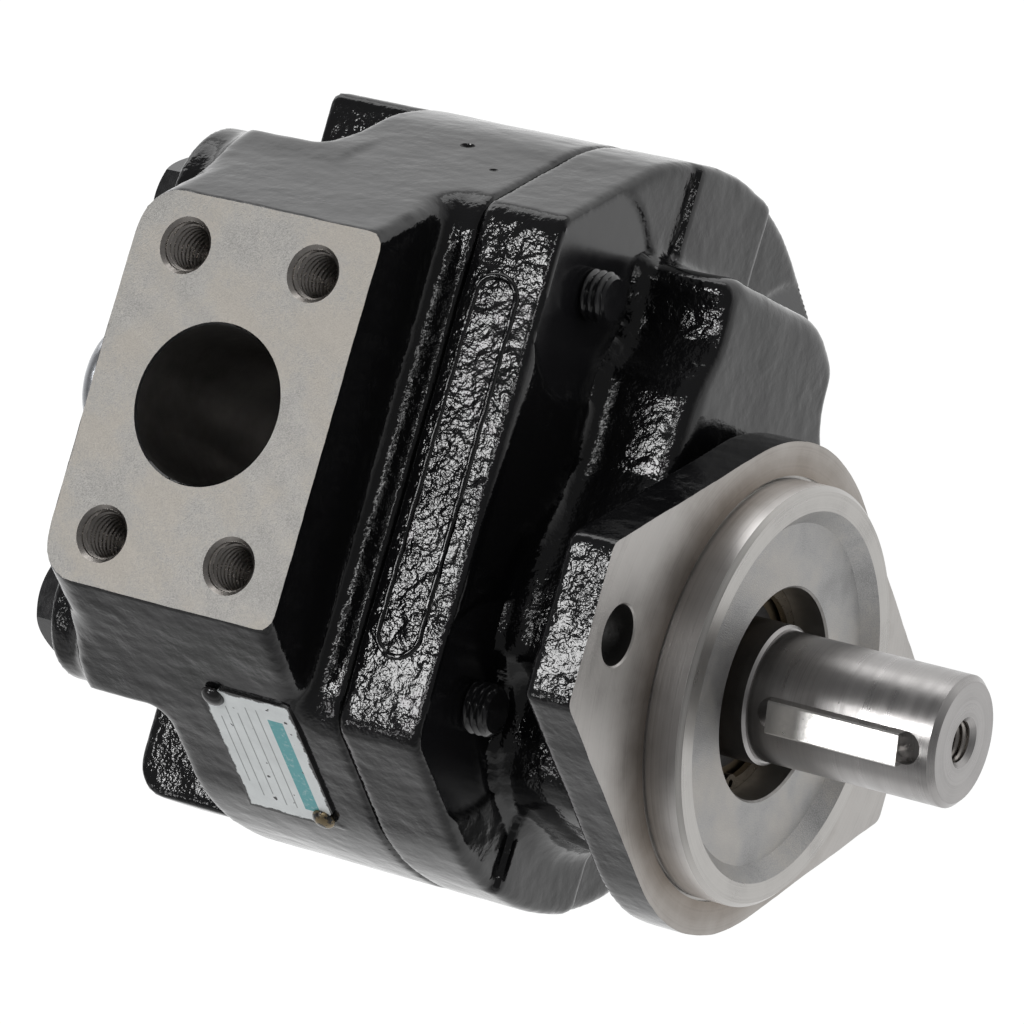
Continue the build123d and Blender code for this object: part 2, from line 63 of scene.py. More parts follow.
# ---------------------------------------------------------------- materials
class Mat:
    """Small helper that builds a node material."""

    def __init__(self, name):
        self.m = D.materials.new(name)
        self.m.use_nodes = True
        self.t = self.m.node_tree
        self.t.nodes.clear()
        self.out = self.n("ShaderNodeOutputMaterial")
        self.b = self.n("ShaderNodeBsdfPrincipled")
        self.t.links.new(self.b.outputs[0], self.out.inputs[0])
        self.tc = self.n("ShaderNodeTexCoord")

    def n(self, kind, **kw):
        node = self.t.nodes.new(kind)
        for k, v in kw.items():
            setattr(node, k, v)
        return node

    def link(self, a, b):
        self.t.links.new(a, b)

    def set(self, **kw):
        names = {"color": "Base Color", "rough": "Roughness", "metal": "Metallic",
                 "spec": "Specular IOR Level", "ior": "IOR", "aniso": "Anisotropic",
                 "aniso_rot": "Anisotropic Rotation", "coat": "Coat Weight",
                 "coat_rough": "Coat Roughness"}
        for k, v in kw.items():
            if k == "color":
                v = (*v, 1.0) if len(v) == 3 else v
            self.b.inputs[names[k]].default_value = v

    def coords(self, scale=(1, 1, 1), rot=(0, 0, 0), loc=(0, 0, 0)):
        mp = self.n("ShaderNodeMapping")
        mp.inputs["Scale"].default_value = scale
        mp.inputs["Rotation"].default_value = rot
        mp.inputs["Location"].default_value = loc
        self.link(self.tc.outputs["Object"], mp.inputs["Vector"])
        return mp.outputs[0]

    def noise(self, vec, scale, detail=3.0, rough=0.5, lac=2.0, dist=0.0):
        nz = self.n("ShaderNodeTexNoise")
        nz.inputs["Scale"].default_value = scale
        nz.inputs["Detail"].default_value = detail
        nz.inputs["Roughness"].default_value = rough
        nz.inputs["Lacunarity"].default_value = lac
        nz.inputs["Distortion"].default_value = dist
        self.link(vec, nz.inputs["Vector"])
        return nz.outputs["Fac"]

    def voronoi(self, vec, scale, feature="SMOOTH_F1", smooth=1.0, rnd=1.0):
        v = self.n("ShaderNodeTexVoronoi")
        v.feature = feature
        v.inputs["Scale"].default_value = scale
        if feature == "SMOOTH_F1":
            v.inputs["Smoothness"].default_value = smooth
        v.inputs["Randomness"].default_value = rnd
        self.link(vec, v.inputs["Vector"])
        return v.outputs["Distance"]

    def math(self, op, a, b=None, c=None, clamp=False):
        m = self.n("ShaderNodeMath", operation=op)
        m.use_clamp = clamp
        for i, x in enumerate((a, b, c)):
            if x is None:
                continue
            if isinstance(x, (int, float)):
                m.inputs[i].default_value = x
            else:
                self.link(x, m.inputs[i])
        return m.outputs[0]

    def ramp(self, fac, stops, interp="LINEAR"):
        r = self.n("ShaderNodeValToRGB")
        r.color_ramp.interpolation = interp
        while len(r.color_ramp.elements) < len(stops):
            r.color_ramp.elements.new(0.5)
        for e, (p, c) in zip(r.color_ramp.elements, stops):
            e.position = p
            e.color = (c, c, c, 1) if isinstance(c, (int, float)) else (*c, 1)
        self.link(fac, r.inputs[0])
        return r.outputs[0]

    def bump(self, height, strength, dist, prev=None):
        b = self.n("ShaderNodeBump")
        b.inputs["Strength"].default_value = strength
        b.inputs["Distance"].default_value = dist
        self.link(height, b.inputs["Height"])
        if prev is not None:
            self.link(prev, b.inputs["Normal"])
        return b.outputs[0]

    def normal(self, out):
        self.link(out, self.b.inputs["Normal"])
        if self.b.inputs["Coat Weight"].default_value > 0:
            self.link(out, self.b.inputs["Coat Normal"])

    def geo(self, name):
        if not hasattr(self, "_g"):
            self._g = self.n("ShaderNodeNewGeometry")
        return self._g.outputs[name]

    def sep(self, vec):
        s = self.n("ShaderNodeSeparateXYZ")
        self.link(vec, s.inputs[0])
        return s.outputs


# ------------------------------------------------------------- mesh helpers
def new_obj(name, verts, faces, smooth=True):
    me = D.meshes.new(name)
    me.from_pydata([tuple(v) for v in verts], [], [tuple(f) for f in faces])
    me.update()
    o = D.objects.new(name, me)
    SC.collection.objects.link(o)
    if smooth:
        me.polygons.foreach_set("use_smooth", [True] * len(me.polygons))
    return o


def fast_mesh(name, pts, quads, tris=None):
    """Mesh from numpy arrays, metres."""
    me = D.meshes.new(name)
    nq = len(quads)
    nt = 0 if tris is None else len(tris)
    me.vertices.add(len(pts))
    me.vertices.foreach_set("co", np.ascontiguousarray(pts, np.float32).ravel())
    loops = nq * 4 + nt * 3
    me.loops.add(loops)
    idx = quads.ravel()
    if nt:
        idx = np.concatenate([idx, tris.ravel()])
    me.loops.foreach_set("vertex_index", idx.astype(np.int32))
    me.polygons.add(nq + nt)
    starts = np.concatenate([np.arange(nq) * 4, nq * 4 + np.arange(nt) * 3])
    me.polygons.foreach_set("loop_start", starts.astype(np.int32))
    me.update(calc_edges=True)
    me.validate()
    o = D.objects.new(name, me)
    SC.collection.objects.link(o)
    return o


def coords(o):
    co = np.empty(len(o.data.vertices) * 3, np.float32)
    o.data.vertices.foreach_get("co", co)
    return co.reshape(-1, 3)


def set_coords(o, co):
    o.data.vertices.foreach_set("co", np.ascontiguousarray(co, np.float32).ravel())
    o.data.update()


def vnormals(o):
    n = np.empty(len(o.data.vertices) * 3, np.float32)
    o.data.vertex_normals.foreach_get("vector", n)
    return n.reshape(-1, 3)


def face_data(o):
    n = len(o.data.polygons)
    c = np.empty(n * 3, np.float32)
    m = np.empty(n * 3, np.float32)
    o.data.polygons.foreach_get("center", c)
    o.data.polygons.foreach_get("normal", m)
    return c.reshape(-1, 3) * 1000, m.reshape(-1, 3)


def boolean(o, cutter, op="DIFFERENCE", keep=False):
    before = len(o.data.polygons)
    for solver in ("MANIFOLD", "EXACT"):
        md = o.modifiers.new("b", "BOOLEAN")
        md.operation = op
        md.solver = solver
        md.object = cutter
        bpy.context.view_layer.update()
        dg = bpy.context.evaluated_depsgraph_get()
        me = D.meshes.new_from_object(o.evaluated_get(dg))
        o.modifiers.remove(md)
        if len(me.polygons) > 0 and not (len(me.polygons) == before and solver == "MANIFOLD"
                                         and len(me.vertices) == len(o.data.vertices)):
            o.data = me
            break
        print("boolean retry", o.name, cutter.name, solver, len(me.polygons))
    if not keep:
        D.objects.remove(cutter)
    return o


def lathe_x(name, prof, y=0.0, z=0.0, seg=128, axis="X", closed=False):
    """Turned solid about an axis parallel to X (or Z). prof: (along, radius)
    in mm, from one end to the other. The ends close on the axis, unless
    closed, when the profile is a closed ring."""
    P = np.array(prof, float)
    a = np.arange(seg) * 2 * math.pi / seg
    verts = []
    for t, r in P:
        c, s = np.cos(a) * r, np.sin(a) * r
        if axis == "X":
            verts.append(np.stack([np.full(seg, t), y + c, z + s], 1))
        else:
            verts.append(np.stack([y + c, z + s, np.full(seg, t)], 1))
    verts = np.concatenate(verts)
    faces = []
    k = len(P)
    for i in range(k if closed else k - 1):
        j = (i + 1) % k
        for q in range(seg):
            w = (q + 1) % seg
            faces.append((i * seg + q, i * seg + w, j * seg + w, j * seg + q))
    if not closed:
        faces.append(tuple(range(seg - 1, -1, -1)))
        faces.append(tuple((k - 1) * seg + q for q in range(seg)))
    o = new_obj(name, verts * MM, faces, smooth=False)
    fix_normals(o)
    return o


def volume(o):
    bm = bmesh.new()
    bm.from_mesh(o.data)
    v = bm.calc_volume(signed=True)
    bm.free()
    return v


def fix_normals(o):
    if volume(o) < 0:
        o.data.flip_normals()
    return o


def box_obj(name, lo, hi):
    x0, y0, z0 = lo
    x1, y1, z1 = hi
    v = np.array([(x, y, z) for x in (x0, x1) for y in (y0, y1) for z in (z0, z1)], float)
    f = [(0, 1, 3, 2), (4, 6, 7, 5), (0, 4, 5, 1), (2, 3, 7, 6), (0, 2, 6, 4), (1, 5, 7, 3)]
    return fix_normals(new_obj(name, v * MM, f, smooth=False))


def prism_obj(name, pts, x0, x1):
    """Prism along X from (y, z) points in mm."""
    n = len(pts)
    v = [(x0, p[0], p[1]) for p in pts] + [(x1, p[0], p[1]) for p in pts]
    f = [tuple(range(n)), tuple(range(2 * n - 1, n - 1, -1))]
    f += [(i, (i + 1) % n, n + (i + 1) % n, n + i) for i in range(n)]
    return fix_normals(new_obj(name, np.array(v, float) * MM, f, smooth=False))


def join(name, objs):
    verts, faces, off = [], [], 0
    for o in objs:
        verts += [tuple(v.co) for v in o.data.vertices]
        faces += [tuple(i + off for i in p.vertices) for p in o.data.polygons]
        off += len(o.data.vertices)
        D.objects.remove(o)
    return new_obj(name, verts, faces, smooth=False)


# numpy gradient noise on points
_rng = np.random.default_rng(11)
_PERM = _rng.permutation(4096).astype(np.int64)
_G = _rng.normal(size=(4096, 3))
_G = (_G / np.linalg.norm(_G, axis=1)[:, None]).astype(np.float32)


def gnoise(p):
    """Gradient noise, about -0.7..0.7, p in lattice units (n, 3)."""
    i = np.floor(p).astype(np.int64)
    f = (p - i).astype(np.float32)
    u = f * f * f * (f * (f * 6 - 15) + 10)
    out = np.zeros(len(p), np.float32)
    for dx in (0, 1):
        wx = u[:, 0] if dx else 1 - u[:, 0]
        hx = _PERM[(i[:, 0] + dx) & 4095]
        for dy in (0, 1):
            wy = u[:, 1] if dy else 1 - u[:, 1]
            hy = _PERM[(hx + i[:, 1] + dy) & 4095]
            for dz in (0, 1):
                wz = u[:, 2] if dz else 1 - u[:, 2]
                h = _PERM[(hy + i[:, 2] + dz) & 4095]
                g = _G[h]
                d = g[:, 0] * (f[:, 0] - dx) + g[:, 1] * (f[:, 1] - dy) + g[:, 2] * (f[:, 2] - dz)
                out += wx * wy * wz * d
    return out


# --------------------------------------------------------- distance fields
def rot_fillet(pts, radii):
    """Closed polygon with its corners rounded."""
    out = []
    n = len(pts)
    for i in range(n):
        p = np.array(pts[i], float)
        a = np.array(pts[i - 1], float) - p
        b = np.array(pts[(i + 1) % n], float) - p
        r = radii[i]
        if r <= 0:
            out.append(tuple(p))
            continue
        a /= np.linalg.norm(a)
        b /= np.linalg.norm(b)
        ang = math.acos(np.clip(a @ b, -1, 1))
        d = r / math.tan(ang / 2)
        c = p + (a + b) / np.linalg.norm(a + b) * (r / math.sin(ang / 2))
        s = p + a * d - c
        e = p + b * d - c
        t0 = math.atan2(s[1], s[0])
        t1 = math.atan2(e[1], e[0])
        dt = (t1 - t0 + math.pi) % (2 * math.pi) - math.pi
        k = max(4, int(abs(dt) * r / 1.2) + 3)
        for q in range(k + 1):
            t = t0 + dt * q / k
            out.append((c[0] + r * math.cos(t), c[1] + r * math.sin(t)))
    return out


def poly_sdf(Y, Z, pts):
    P = np.array(pts, np.float32)
    n = len(P)
    d = np.full(Y.shape, 1e9, np.float32)
    inside = np.zeros(Y.shape, bool)
    for i in range(n):
        a, b = P[i - 1], P[i]
        ex, ey = b[0] - a[0], b[1] - a[1]
        L = ex * ex + ey * ey
        if L < 1e-12:
            continue
        wx, wy = Y - a[0], Z - a[1]
        t = np.clip((wx * ex + wy * ey) / L, 0, 1)
        d = np.minimum(d, (wx - ex * t) ** 2 + (wy - ey * t) ** 2)
        c = (a[1] > Z) != (b[1] > Z)
        if abs(ey) > 1e-12:
            inside ^= c & (Y < ex * (Z - a[1]) / ey + a[0])
    d = np.sqrt(d)
    return np.where(inside, -d, d)


def rmax(a, b, r):
    if r <= 0:
        return np.maximum(a, b)
    u, v = a + r, b + r
    return np.minimum(np.maximum(u, v), 0) + np.sqrt(
        np.maximum(u, 0) ** 2 + np.maximum(v, 0) ** 2) - r


def rmin(a, b, r):
    if r <= 0:
        return np.minimum(a, b)
    u, v = np.maximum(r - a, 0), np.maximum(r - b, 0)
    return np.maximum(r, np.minimum(a, b)) - np.sqrt(u * u + v * v)


class Field:
    def __init__(self, lo, hi, h):
        self.lo, self.h = np.array(lo, float), h
        self.ax = [np.arange(lo[i], hi[i] + h, h).astype(np.float32) for i in range(3)]
        self.x = self.ax[0][:, None, None]
        self.y = self.ax[1][None, :, None]
        self.z = self.ax[2][None, None, :]
        self.Y, self.Z = np.meshgrid(self.ax[1], self.ax[2], indexing="ij")
        self.d = None

    def poly(self, pts):
        return poly_sdf(self.Y, self.Z, pts)

    def circle(self, y, z, r):
        return np.sqrt((self.Y - y) ** 2 + (self.Z - z) ** 2) - r

    def prism(self, d2, x0, x1, r0=0.0, r1=0.0):
        d2 = d2[None]
        return rmax(rmax(d2, x0 - self.x, r0), self.x - x1, r1)

    def add(self, d, r):
        self.d = d if self.d is None else rmin(self.d, d, r)

    def sub(self, d, r):
        self.d = rmax(self.d, -d, r)

    def mesh(self, name):
        import openvdb as vdb
        d = np.clip(self.d, -3 * self.h, 3 * self.h).astype(np.float32)
        g = vdb.FloatGrid(3 * self.h)
        g.copyFromArray(np.ascontiguousarray(d))
        pts, quads = g.convertToQuads()
        pts = pts * self.h + self.lo
        o = fast_mesh(name, pts * MM, quads)
        return fix_normals(o)


# ------------------------------------------------------------ casing shapes
MIDY = 27.0
TOP = [(-46.7, 78.5), (-37.8, 83.9), (-28.0, 87.8), (-17.0, 90.4), (0.0, 92.0),
       (17.0, 90.4), (28.0, 87.8), (37.8, 83.9), (46.7, 78.5)]
SL = 0.612


def crown():
    """Top curve of the casing outline as (z, height) points."""
    P = np.array(TOP)
    n = len(P)
    m = np.zeros(n)
    m[1:-1] = (P[2:, 1] - P[:-2, 1]) / (P[2:, 0] - P[:-2, 0])
    m[0], m[-1] = SL, -SL
    out = []
    for i in range(n - 1):
        h = P[i + 1, 0] - P[i, 0]
        for k in range(5):
            t = k / 5
            a = (1 + 2 * t) * (1 - t) ** 2 * P[i, 1] + t * (1 - t) ** 2 * h * m[i] + \
                t * t * (3 - 2 * t) * P[i + 1, 1] + t * t * (t - 1) * h * m[i + 1]
            out.append((P[i, 0] + t * h, a))
    out.append(tuple(P[-1]))
    return out


def outline(zmax, corner):
    c = crown()
    hz = 78.5 - SL * (zmax - 46.7)
    top = [(MIDY + h, z) for z, h in c]
    bot = [(MIDY - h, z) for z, h in reversed(c)]
    pts = top + [(MIDY + hz, zmax), (MIDY - hz, zmax)] + bot + [(MIDY - hz, -zmax), (MIDY + hz, -zmax)]
    rad = [0] * len(top) + [corner, corner] + [0] * len(bot) + [corner, corner]
    return rot_fillet(pts, rad)


BOLTS = [(MIDY + sy * 49.75, sz * 51.0) for sy in (1, -1) for sz in (1, -1)]


def stadium(cy, half, r, n=40):
    pts = []
    for k in range(n + 1):
        t = -math.pi / 2 + math.pi * k / n
        pts.append((cy + half + r * math.cos(t), r * math.sin(t)))
    for k in range(n + 1):
        t = math.pi / 2 + math.pi * k / n
        pts.append((cy - half + r * math.cos(t), r * math.sin(t)))
    return pts


def rect(y0, y1, z0, z1, r):
    return rot_fillet([(y0, z0), (y1, z0), (y1, z1), (y0, z1)], [r] * 4)


def flange_outline(grow=0.0):
    a = math.radians(30.0)
    n = (math.cos(a), math.sin(a))
    R = 59.8 + grow
    ze = 86.8 + grow
    ye = (R - ze * n[1]) / n[0]
    tz, ty = R * n[1], R * n[0]
    pts, rad = [], []

    def arc(t0, t1):
        for k in range(25):
            t = t0 + (t1 - t0) * k / 24
            pts.append((R * math.cos(t), R * math.sin(t)))
            rad.append(0)
    arc(-a, a)
    pts.extend([(ye, ze), (-ye, ze)])
    rad.extend([3.0, 3.0])
    arc(math.pi - a, math.pi + a)
    pts.extend([(-ye, -ze), (ye, -ze)])
    rad.extend([3.0, 3.0])
    return rot_fillet(pts, rad)


def cast_surface(o, box_node, wob=0.30, peel=0.10, seed=0.0, flat=()):
    """Uneven sand-cast skin: slow waves and a finer ripple, kept in the
    CAD piece's own box."""
    co = coords(o) * 1000
    n = vnormals(o)
    p = co + seed
    d = wob * gnoise(p / 21.0) + 0.45 * wob * gnoise(p / 9.0 + 31.0)
    ripple = gnoise(np.stack([p[:, 0] / 6.5, p[:, 1] / 3.6, p[:, 2] / 3.6], 1) + 77.0)
    d = d + peel * ripple + 0.6 * peel * gnoise(p / 2.3 + 5.0)
    co = co + n * d[:, None]
    lo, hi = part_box(box_node)
    lo, hi = np.array(lo) * 1000, np.array(hi) * 1000
    co = np.clip(co, lo, hi)
    set_coords(o, co * MM)
    return o

H = 1.0


def build_body():
    F = Field((-176, -72, -105), (-61, 126, 105), H)
    x, z = F.x, F.z
    az = np.abs(z)
    V = F.poly(outline(112.0, 0.0))[None]
    side = rmin(az - 72.4, np.maximum(x + 73.6, -140.2 - x), 4.0)
    W = rmax(V, side, 6.0)
    t = np.clip((az - 74.0) / 10.0, 0, 1)
    front = np.clip((x + 112.0) / 10.0, 0, 1)
    Wp = rmax(V, side, 11.0) * (1 - front) + rmax(V, side, 3.5) * front
    W = W * (1 - t) + Wp * t
    R = rmin(-119.0 - x, np.maximum(60.0 - az, -140.2 - x), 4.0)
    lug = rmax(-152.5 - x, (MIDY - 89.5) - F.y, 9.0)
    lug = rmax(lug, az - 10.5, 1.8)
    R = rmin(R, lug, 2.5)
    F.d = rmax(W, R, 3.0)
    F.d = np.maximum(F.d, az - 100.5)
    F.add(F.prism(F.poly(rect(MIDY - 60, MIDY + 60, -63, 63, 20)), -152, -114, 5, 0), 6)
    F.add(F.prism(F.poly(rect(MIDY - 52, MIDY + 52, -71, 71, 6)), -138.2, -116, 4, 0), 5)
    for y, zz in BOLTS:
        up = y > MIDY
        c = F.circle(y + (1.2 if up else 0), zz - math.copysign(2.5 if up else 0.0, zz),
                     20.0 if up else 17.7)
        F.add(F.prism(c, -152.3, -114, 2.0, 0), 6)
    F.add(F.prism(F.poly(stadium(MIDY, 27, 36)), -172, -148, 6, 0), 6)
    F.d = rmax(F.d, x + 65.05, 1.6)
    # flat seat of the rating plate, square to the lower facet
    cy = MIDY - (78.5 - SL * (55.4 - 46.7))
    nv = Vector((0, -1.0, SL)).normalized()
    M = Matrix(((1, 0, 0, -89.6), (0, nv.z, nv.y, cy), (0, -nv.y, nv.z, 55.4), (0, 0, 0, 1)))
    o = F.mesh("pump_body_casting")
    cast_surface(o, "pump_body", seed=3.0)
    co = coords(o) * 1000
    q = co - np.array([-89.6, cy, 55.4])
    u, v, wv = q[:, 0], q[:, 1] * nv.z - q[:, 2] * nv.y, q[:, 1] * nv.y + q[:, 2] * nv.z
    m = (np.abs(u) < 13.3) & (np.abs(v) < 22.9) & (np.abs(wv) < 3)
    co[m] -= np.outer(wv[m] + 0.03, [0, nv.y, nv.z])
    co[:, 0] = np.minimum(co[:, 0], -65.0)
    set_coords(o, co * MM)
    # two small blow holes in the casting's upper facet
    for px_, py_, pz_, pr_ in ((-89.3, 106.6, 46.3, 1.7), (-75.1, 100.7, 55.5, 1.15)):
        boolean(o, lathe_x("c", [(px_ - 1.3 * pr_, 0.12 * pr_), (px_ - 1.0 * pr_, 0.62 * pr_), (px_ - 0.4 * pr_, 0.95 * pr_),
                                 (px_ + 0.5 * pr_, 0.9 * pr_), (px_ + 1.0 * pr_, 0.55 * pr_), (px_ + 1.25 * pr_, 0.1 * pr_)],
                           py_, pz_, 28))
    # machining
    boolean(o, box_obj("c", (-180, -90, 97.2), (-50, 140, 120)))
    boolean(o, box_obj("c", (-180, -90, -120), (-50, 140, -97.2)))
    cyls = []
    for s, r, tr, td, dx, dy in ((1, 19.05, 6.0, 27.0, 35.7, 69.9),
                                 (-1, 15.9, 5.5, 22.0, 30.2, 58.7)):
        pr = [(12.0, r - 2), (34.0, r - 2), (34.0, r), (96.75, r), (99.0, r + 2.25)]
        boolean(o, lathe_x("c", [(s * a, b) for a, b in pr], -107.0, MIDY, 160, "Z"))
        ch = 0.9
        th = []
        for a in (-0.5, 0.5):
            for b in (-0.5, 0.5):
                th.append(lathe_x("c", [(s * (97.2 - td - 3), 0.4), (s * (97.2 - td), tr),
                                        (s * (97.2 - ch), tr), (s * 97.2, tr + ch),
                                        (s * 99.0, tr + ch + 1.8)],
                                  -107.0 + a * dx, MIDY + b * dy, 72, "Z"))
        boolean(o, join("c", th))
    for y in (0.0, 54.0):
        boolean(o, lathe_x("c", [(-170.5, 15), (-169, 15), (-169, 22), (-149, 22),
                                 (-149, 31.45), (-60, 31.45)], y, 0, 160))
    hs = [lathe_x("c", [(-156, 12.6), (-152, 12.6), (-152, 6.7), (-60, 6.7)], y, zz, 64)
          for y, zz in BOLTS]
    boolean(o, join("c", hs))
    boolean(o, lathe_x("c", [(-156, 17), (-152, 17), (-152, 11), (-136, 11)], MIDY + 4, 52.0, 64))
    return o, M


def housing_pts(g=0.0):
    return rot_fillet([(-40 - g, 36 + g), (91 + g, 36 + g), (91 + g, -38.5 - g), (-40 - g, -38.5 - g)],
                      [16, 11, 27, 14])


def build_cover():
    F = Field((-68, -72, -92), (6, 126, 92), H)
    x, z = F.x, F.z
    az = np.abs(z)
    main = F.poly(outline(72.4, 6.0))[None]
    front = rmin(x + 42.3, np.maximum(az - 19.5, x + 40.4), 0.8)
    F.d = rmax(main, front, 2.8)
    hs = F.prism(F.poly(housing_pts()), -46, -17, 0, 5.0)
    for y, zz in BOLTS:
        hs = rmax(hs, -F.circle(y, zz, 20.5)[None], 2.5)
    F.add(hs, 5.0)
    neck = F.prism(F.circle(0, 0, 47.0), -46, -11, 0, 0)
    for y, zz in BOLTS:
        neck = rmax(neck, -F.circle(y, zz, 14.5)[None], 2.0)
    F.add(neck, 7.0)
    fl = F.prism(F.poly(flange_outline()), -12.4, 5.0, 2.2, 0)
    F.add(fl, 4.5)
    for s in (1, -1):
        c = np.maximum(F.circle(0, s * 73.0, 15.0)[None], np.maximum(-30 - x, x + 12.4))
        F.sub(c, 1.0)
    F.d = rmax(F.d, -65.05 - x, 1.6)
    F.d = np.maximum(F.d, x - 3.0)
    o = F.mesh("front_cover_casting")
    cast_skin_cover(o)
    boolean(o, box_obj("c", (0, -90, -120), (20, 140, 120)))
    # turned pilot with its recess
    pilot = lathe_x("p", [(-3.0, 50.3), (-0.8, 50.3), (-0.8, 50.2), (0.0, 50.2), (0.0, 50.8), (8.2, 50.8),
                          (9.3, 49.7), (9.3, 44.9), (5.6, 41.4), (5.6, 20.0), (-3.0, 20.0)],
                    0, 0, 256, closed=True)
    groove = lathe_x("g", [(-0.8, 50.3), (0.5, 50.3), (0.5, 51.5), (-0.8, 51.5)], 0, 0, 256, closed=True)
    boolean(o, groove)
    boolean(o, pilot, "UNION")
    boolean(o, lathe_x("c", [(-70, 22), (-33, 22), (-33, 20.5), (-16, 20.5), (-16, 25.75), (-5, 25.75),
                             (-5, 27.15), (-3.2, 27.15), (-3.2, 25.75), (5.1, 25.75), (6.0, 26.65)], 0, 0, 160))
    boolean(o, lathe_x("c", [(-70, 22), (-33, 22), (-33, 15), (-29, 15)], 54, 0, 96))
    boolean(o, join("c", [lathe_x("c", [(-16, 7.15), (-0.4, 7.15), (0.0, 7.55), (1, 8.5)], 0, s * 73.0, 96)
                          for s in (1, -1)]))
    return o


def cast_skin_cover(o):
    """Cast skin of the front cover: machined front planes come later, so
    only the cast sides are held inside the CAD piece's box."""
    co = coords(o) * 1000
    n = vnormals(o)
    p = co + 40.0
    d = 0.30 * gnoise(p / 21.0) + 0.14 * gnoise(p / 9.0 + 31.0)
    ripple = gnoise(np.stack([p[:, 0] / 6.5, p[:, 1] / 3.6, p[:, 2] / 3.6], 1) + 77.0)
    d = d + 0.10 * ripple + 0.06 * gnoise(p / 2.3 + 5.0)
    co = co + n * d[:, None]
    co[:, 0] = np.maximum(co[:, 0], -65.0)
    # machined seats around the casing screws
    flat = (n[:, 0] > 0.80) & (co[:, 0] < -41.2) & (co[:, 0] > -44.5)
    for y, zz in BOLTS:
        r = np.hypot(co[:, 1] - y, co[:, 2] - zz)
        k = np.clip((26.4 - r) / 0.9, 0, 1)
        k = np.where(flat, k, 0)
        co[:, 0] = co[:, 0] * (1 - k) + (-43.0) * k
    lo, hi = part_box("front_cover")
    co[:, 1] = np.clip(co[:, 1], lo[1] * 1000, hi[1] * 1000)
    co[:, 2] = np.clip(co[:, 2], lo[2] * 1000, hi[2] * 1000)
    set_coords(o, co * MM)


def casting_rim():
    """Raised oval rim cast on the cover's side, left empty."""
    path = []
    half, r = 46.25 - 6.2, 5.55
    for k in range(33):
        t = math.pi * k / 32
        path.append((-55.3 + r * math.cos(t), 28.2 + half + r * math.sin(t)))
    m = 56
    for k in range(1, m):
        path.append((-55.3 - r, 28.2 + half - 2 * half * k / m))
    for k in range(33):
        t = math.pi + math.pi * k / 32
        path.append((-55.3 + r * math.cos(t), 28.2 - half + r * math.sin(t)))
    for k in range(1, m):
        path.append((-55.3 + r, 28.2 - half + 2 * half * k / m))
    P = np.array(path)
    n = len(P)
    T = np.roll(P, -1, 0) - np.roll(P, 1, 0)
    T /= np.linalg.norm(T, axis=1)[:, None]
    N = np.stack([T[:, 1], -T[:, 0]], 1)
    w = gnoise(np.stack([P[:, 0] / 5, P[:, 1] / 5, np.zeros(n)], 1))
    w2 = gnoise(np.stack([P[:, 0] / 3, P[:, 1] / 3, np.full(n, 9.0)], 1))
    prof = [(-0.95, -1.2), (-0.95, -0.25), (-0.62, 0.48), (-0.2, 0.8), (0.2, 0.8), (0.62, 0.48),
            (0.95, -0.25), (0.95, -1.2)]
    verts, faces = [], []
    k = len(prof)
    for i in range(n):
        c = P[i] + N[i] * w[i] * 0.5
        for a, b in prof:
            q = c + N[i] * a * (1 + 0.25 * w2[i])
            verts.append((q[0], q[1], 72.4 + min(b + 0.25 * w2[i] * (b > 0), 1.1)))
    for i in range(n):
        j = (i + 1) % n
        for a in range(k):
            b = (a + 1) % k
            faces.append((i * k + a, i * k + b, j * k + b, j * k + a))
    o = new_obj("cover_side_rim", np.array(verts) * MM, faces)
    return fix_normals(o)


# --------------------------------------------------------------- materials
def mat_paint(name="black_paint", sand=1.0, peel=1.0, rough=0.11):
    """Gloss black paint over sand-cast iron. Faces square to the ports are
    the roughest, the sloping ones are smoother with a long ripple."""
    k = Mat(name)
    k.set(color=(0.005, 0.005, 0.0055), rough=rough, spec=0.42, metal=0.0)
    v = k.coords()
    nrm = k.sep(k.geo("Normal"))
    nz = k.math("ABSOLUTE", nrm[2])
    side = k.ramp(nz, [(0.60, 0.25), (0.90, 1.0)])
    # the step between the pad and the seam is as rough as the sides
    px = k.ramp(k.math("MULTIPLY", k.sep(k.tc.outputs["Object"])[0], -1.0), [(0.068, 0.0), (0.0715, 1.0)])
    side = k.math("MAXIMUM", side, k.math("MULTIPLY", k.ramp(nrm[0], [(0.75, 0.0), (0.93, 0.9)]), px))
    # sand grain: thick paint lies over it in rounded beads
    g1 = k.noise(v, 330, 3.0, 0.55)
    g2 = k.noise(v, 900, 1.0, 0.5)
    thick = k.ramp(k.noise(v, 60, 2.0, 0.5), [(0.38, 1.15), (0.62, 0.55)])
    grain = k.math("MULTIPLY", k.math("ADD", k.math("MULTIPLY", g1, 1.25), k.math("MULTIPLY", g2, 0.22)), side)
    grain = k.math("MULTIPLY", grain, thick)
    # long ripple of the thick paint
    vs = k.coords(scale=(0.9, 1.0, 1.0))
    ripple = k.noise(vs, 170, 2.0, 0.45)
    hgt = k.math("ADD", k.math("MULTIPLY", ripple, 0.30 * peel), k.math("MULTIPLY", grain, 1.0 * sand))
    k.normal(k.bump(hgt, 1.0, 0.00042))
    rr = k.ramp(k.noise(v, 75, 2.0, 0.6), [(0.3, rough * 0.75), (0.75, rough * 1.5)])
    k.link(rr, k.b.inputs["Roughness"])
    return k.m


def mat_paint_smooth(name="black_paint_on_machined"):
    k = Mat(name)
    k.set(color=(0.009, 0.009, 0.010), rough=0.12, spec=0.5)
    v = k.coords()
    k.normal(k.bump(k.noise(v, 120, 2.0, 0.5), 0.25, 0.0003))
    rr = k.ramp(k.noise(v, 60, 3.0, 0.6), [(0.3, 0.09), (0.75, 0.22)])
    k.link(rr, k.b.inputs["Roughness"])
    return k.m


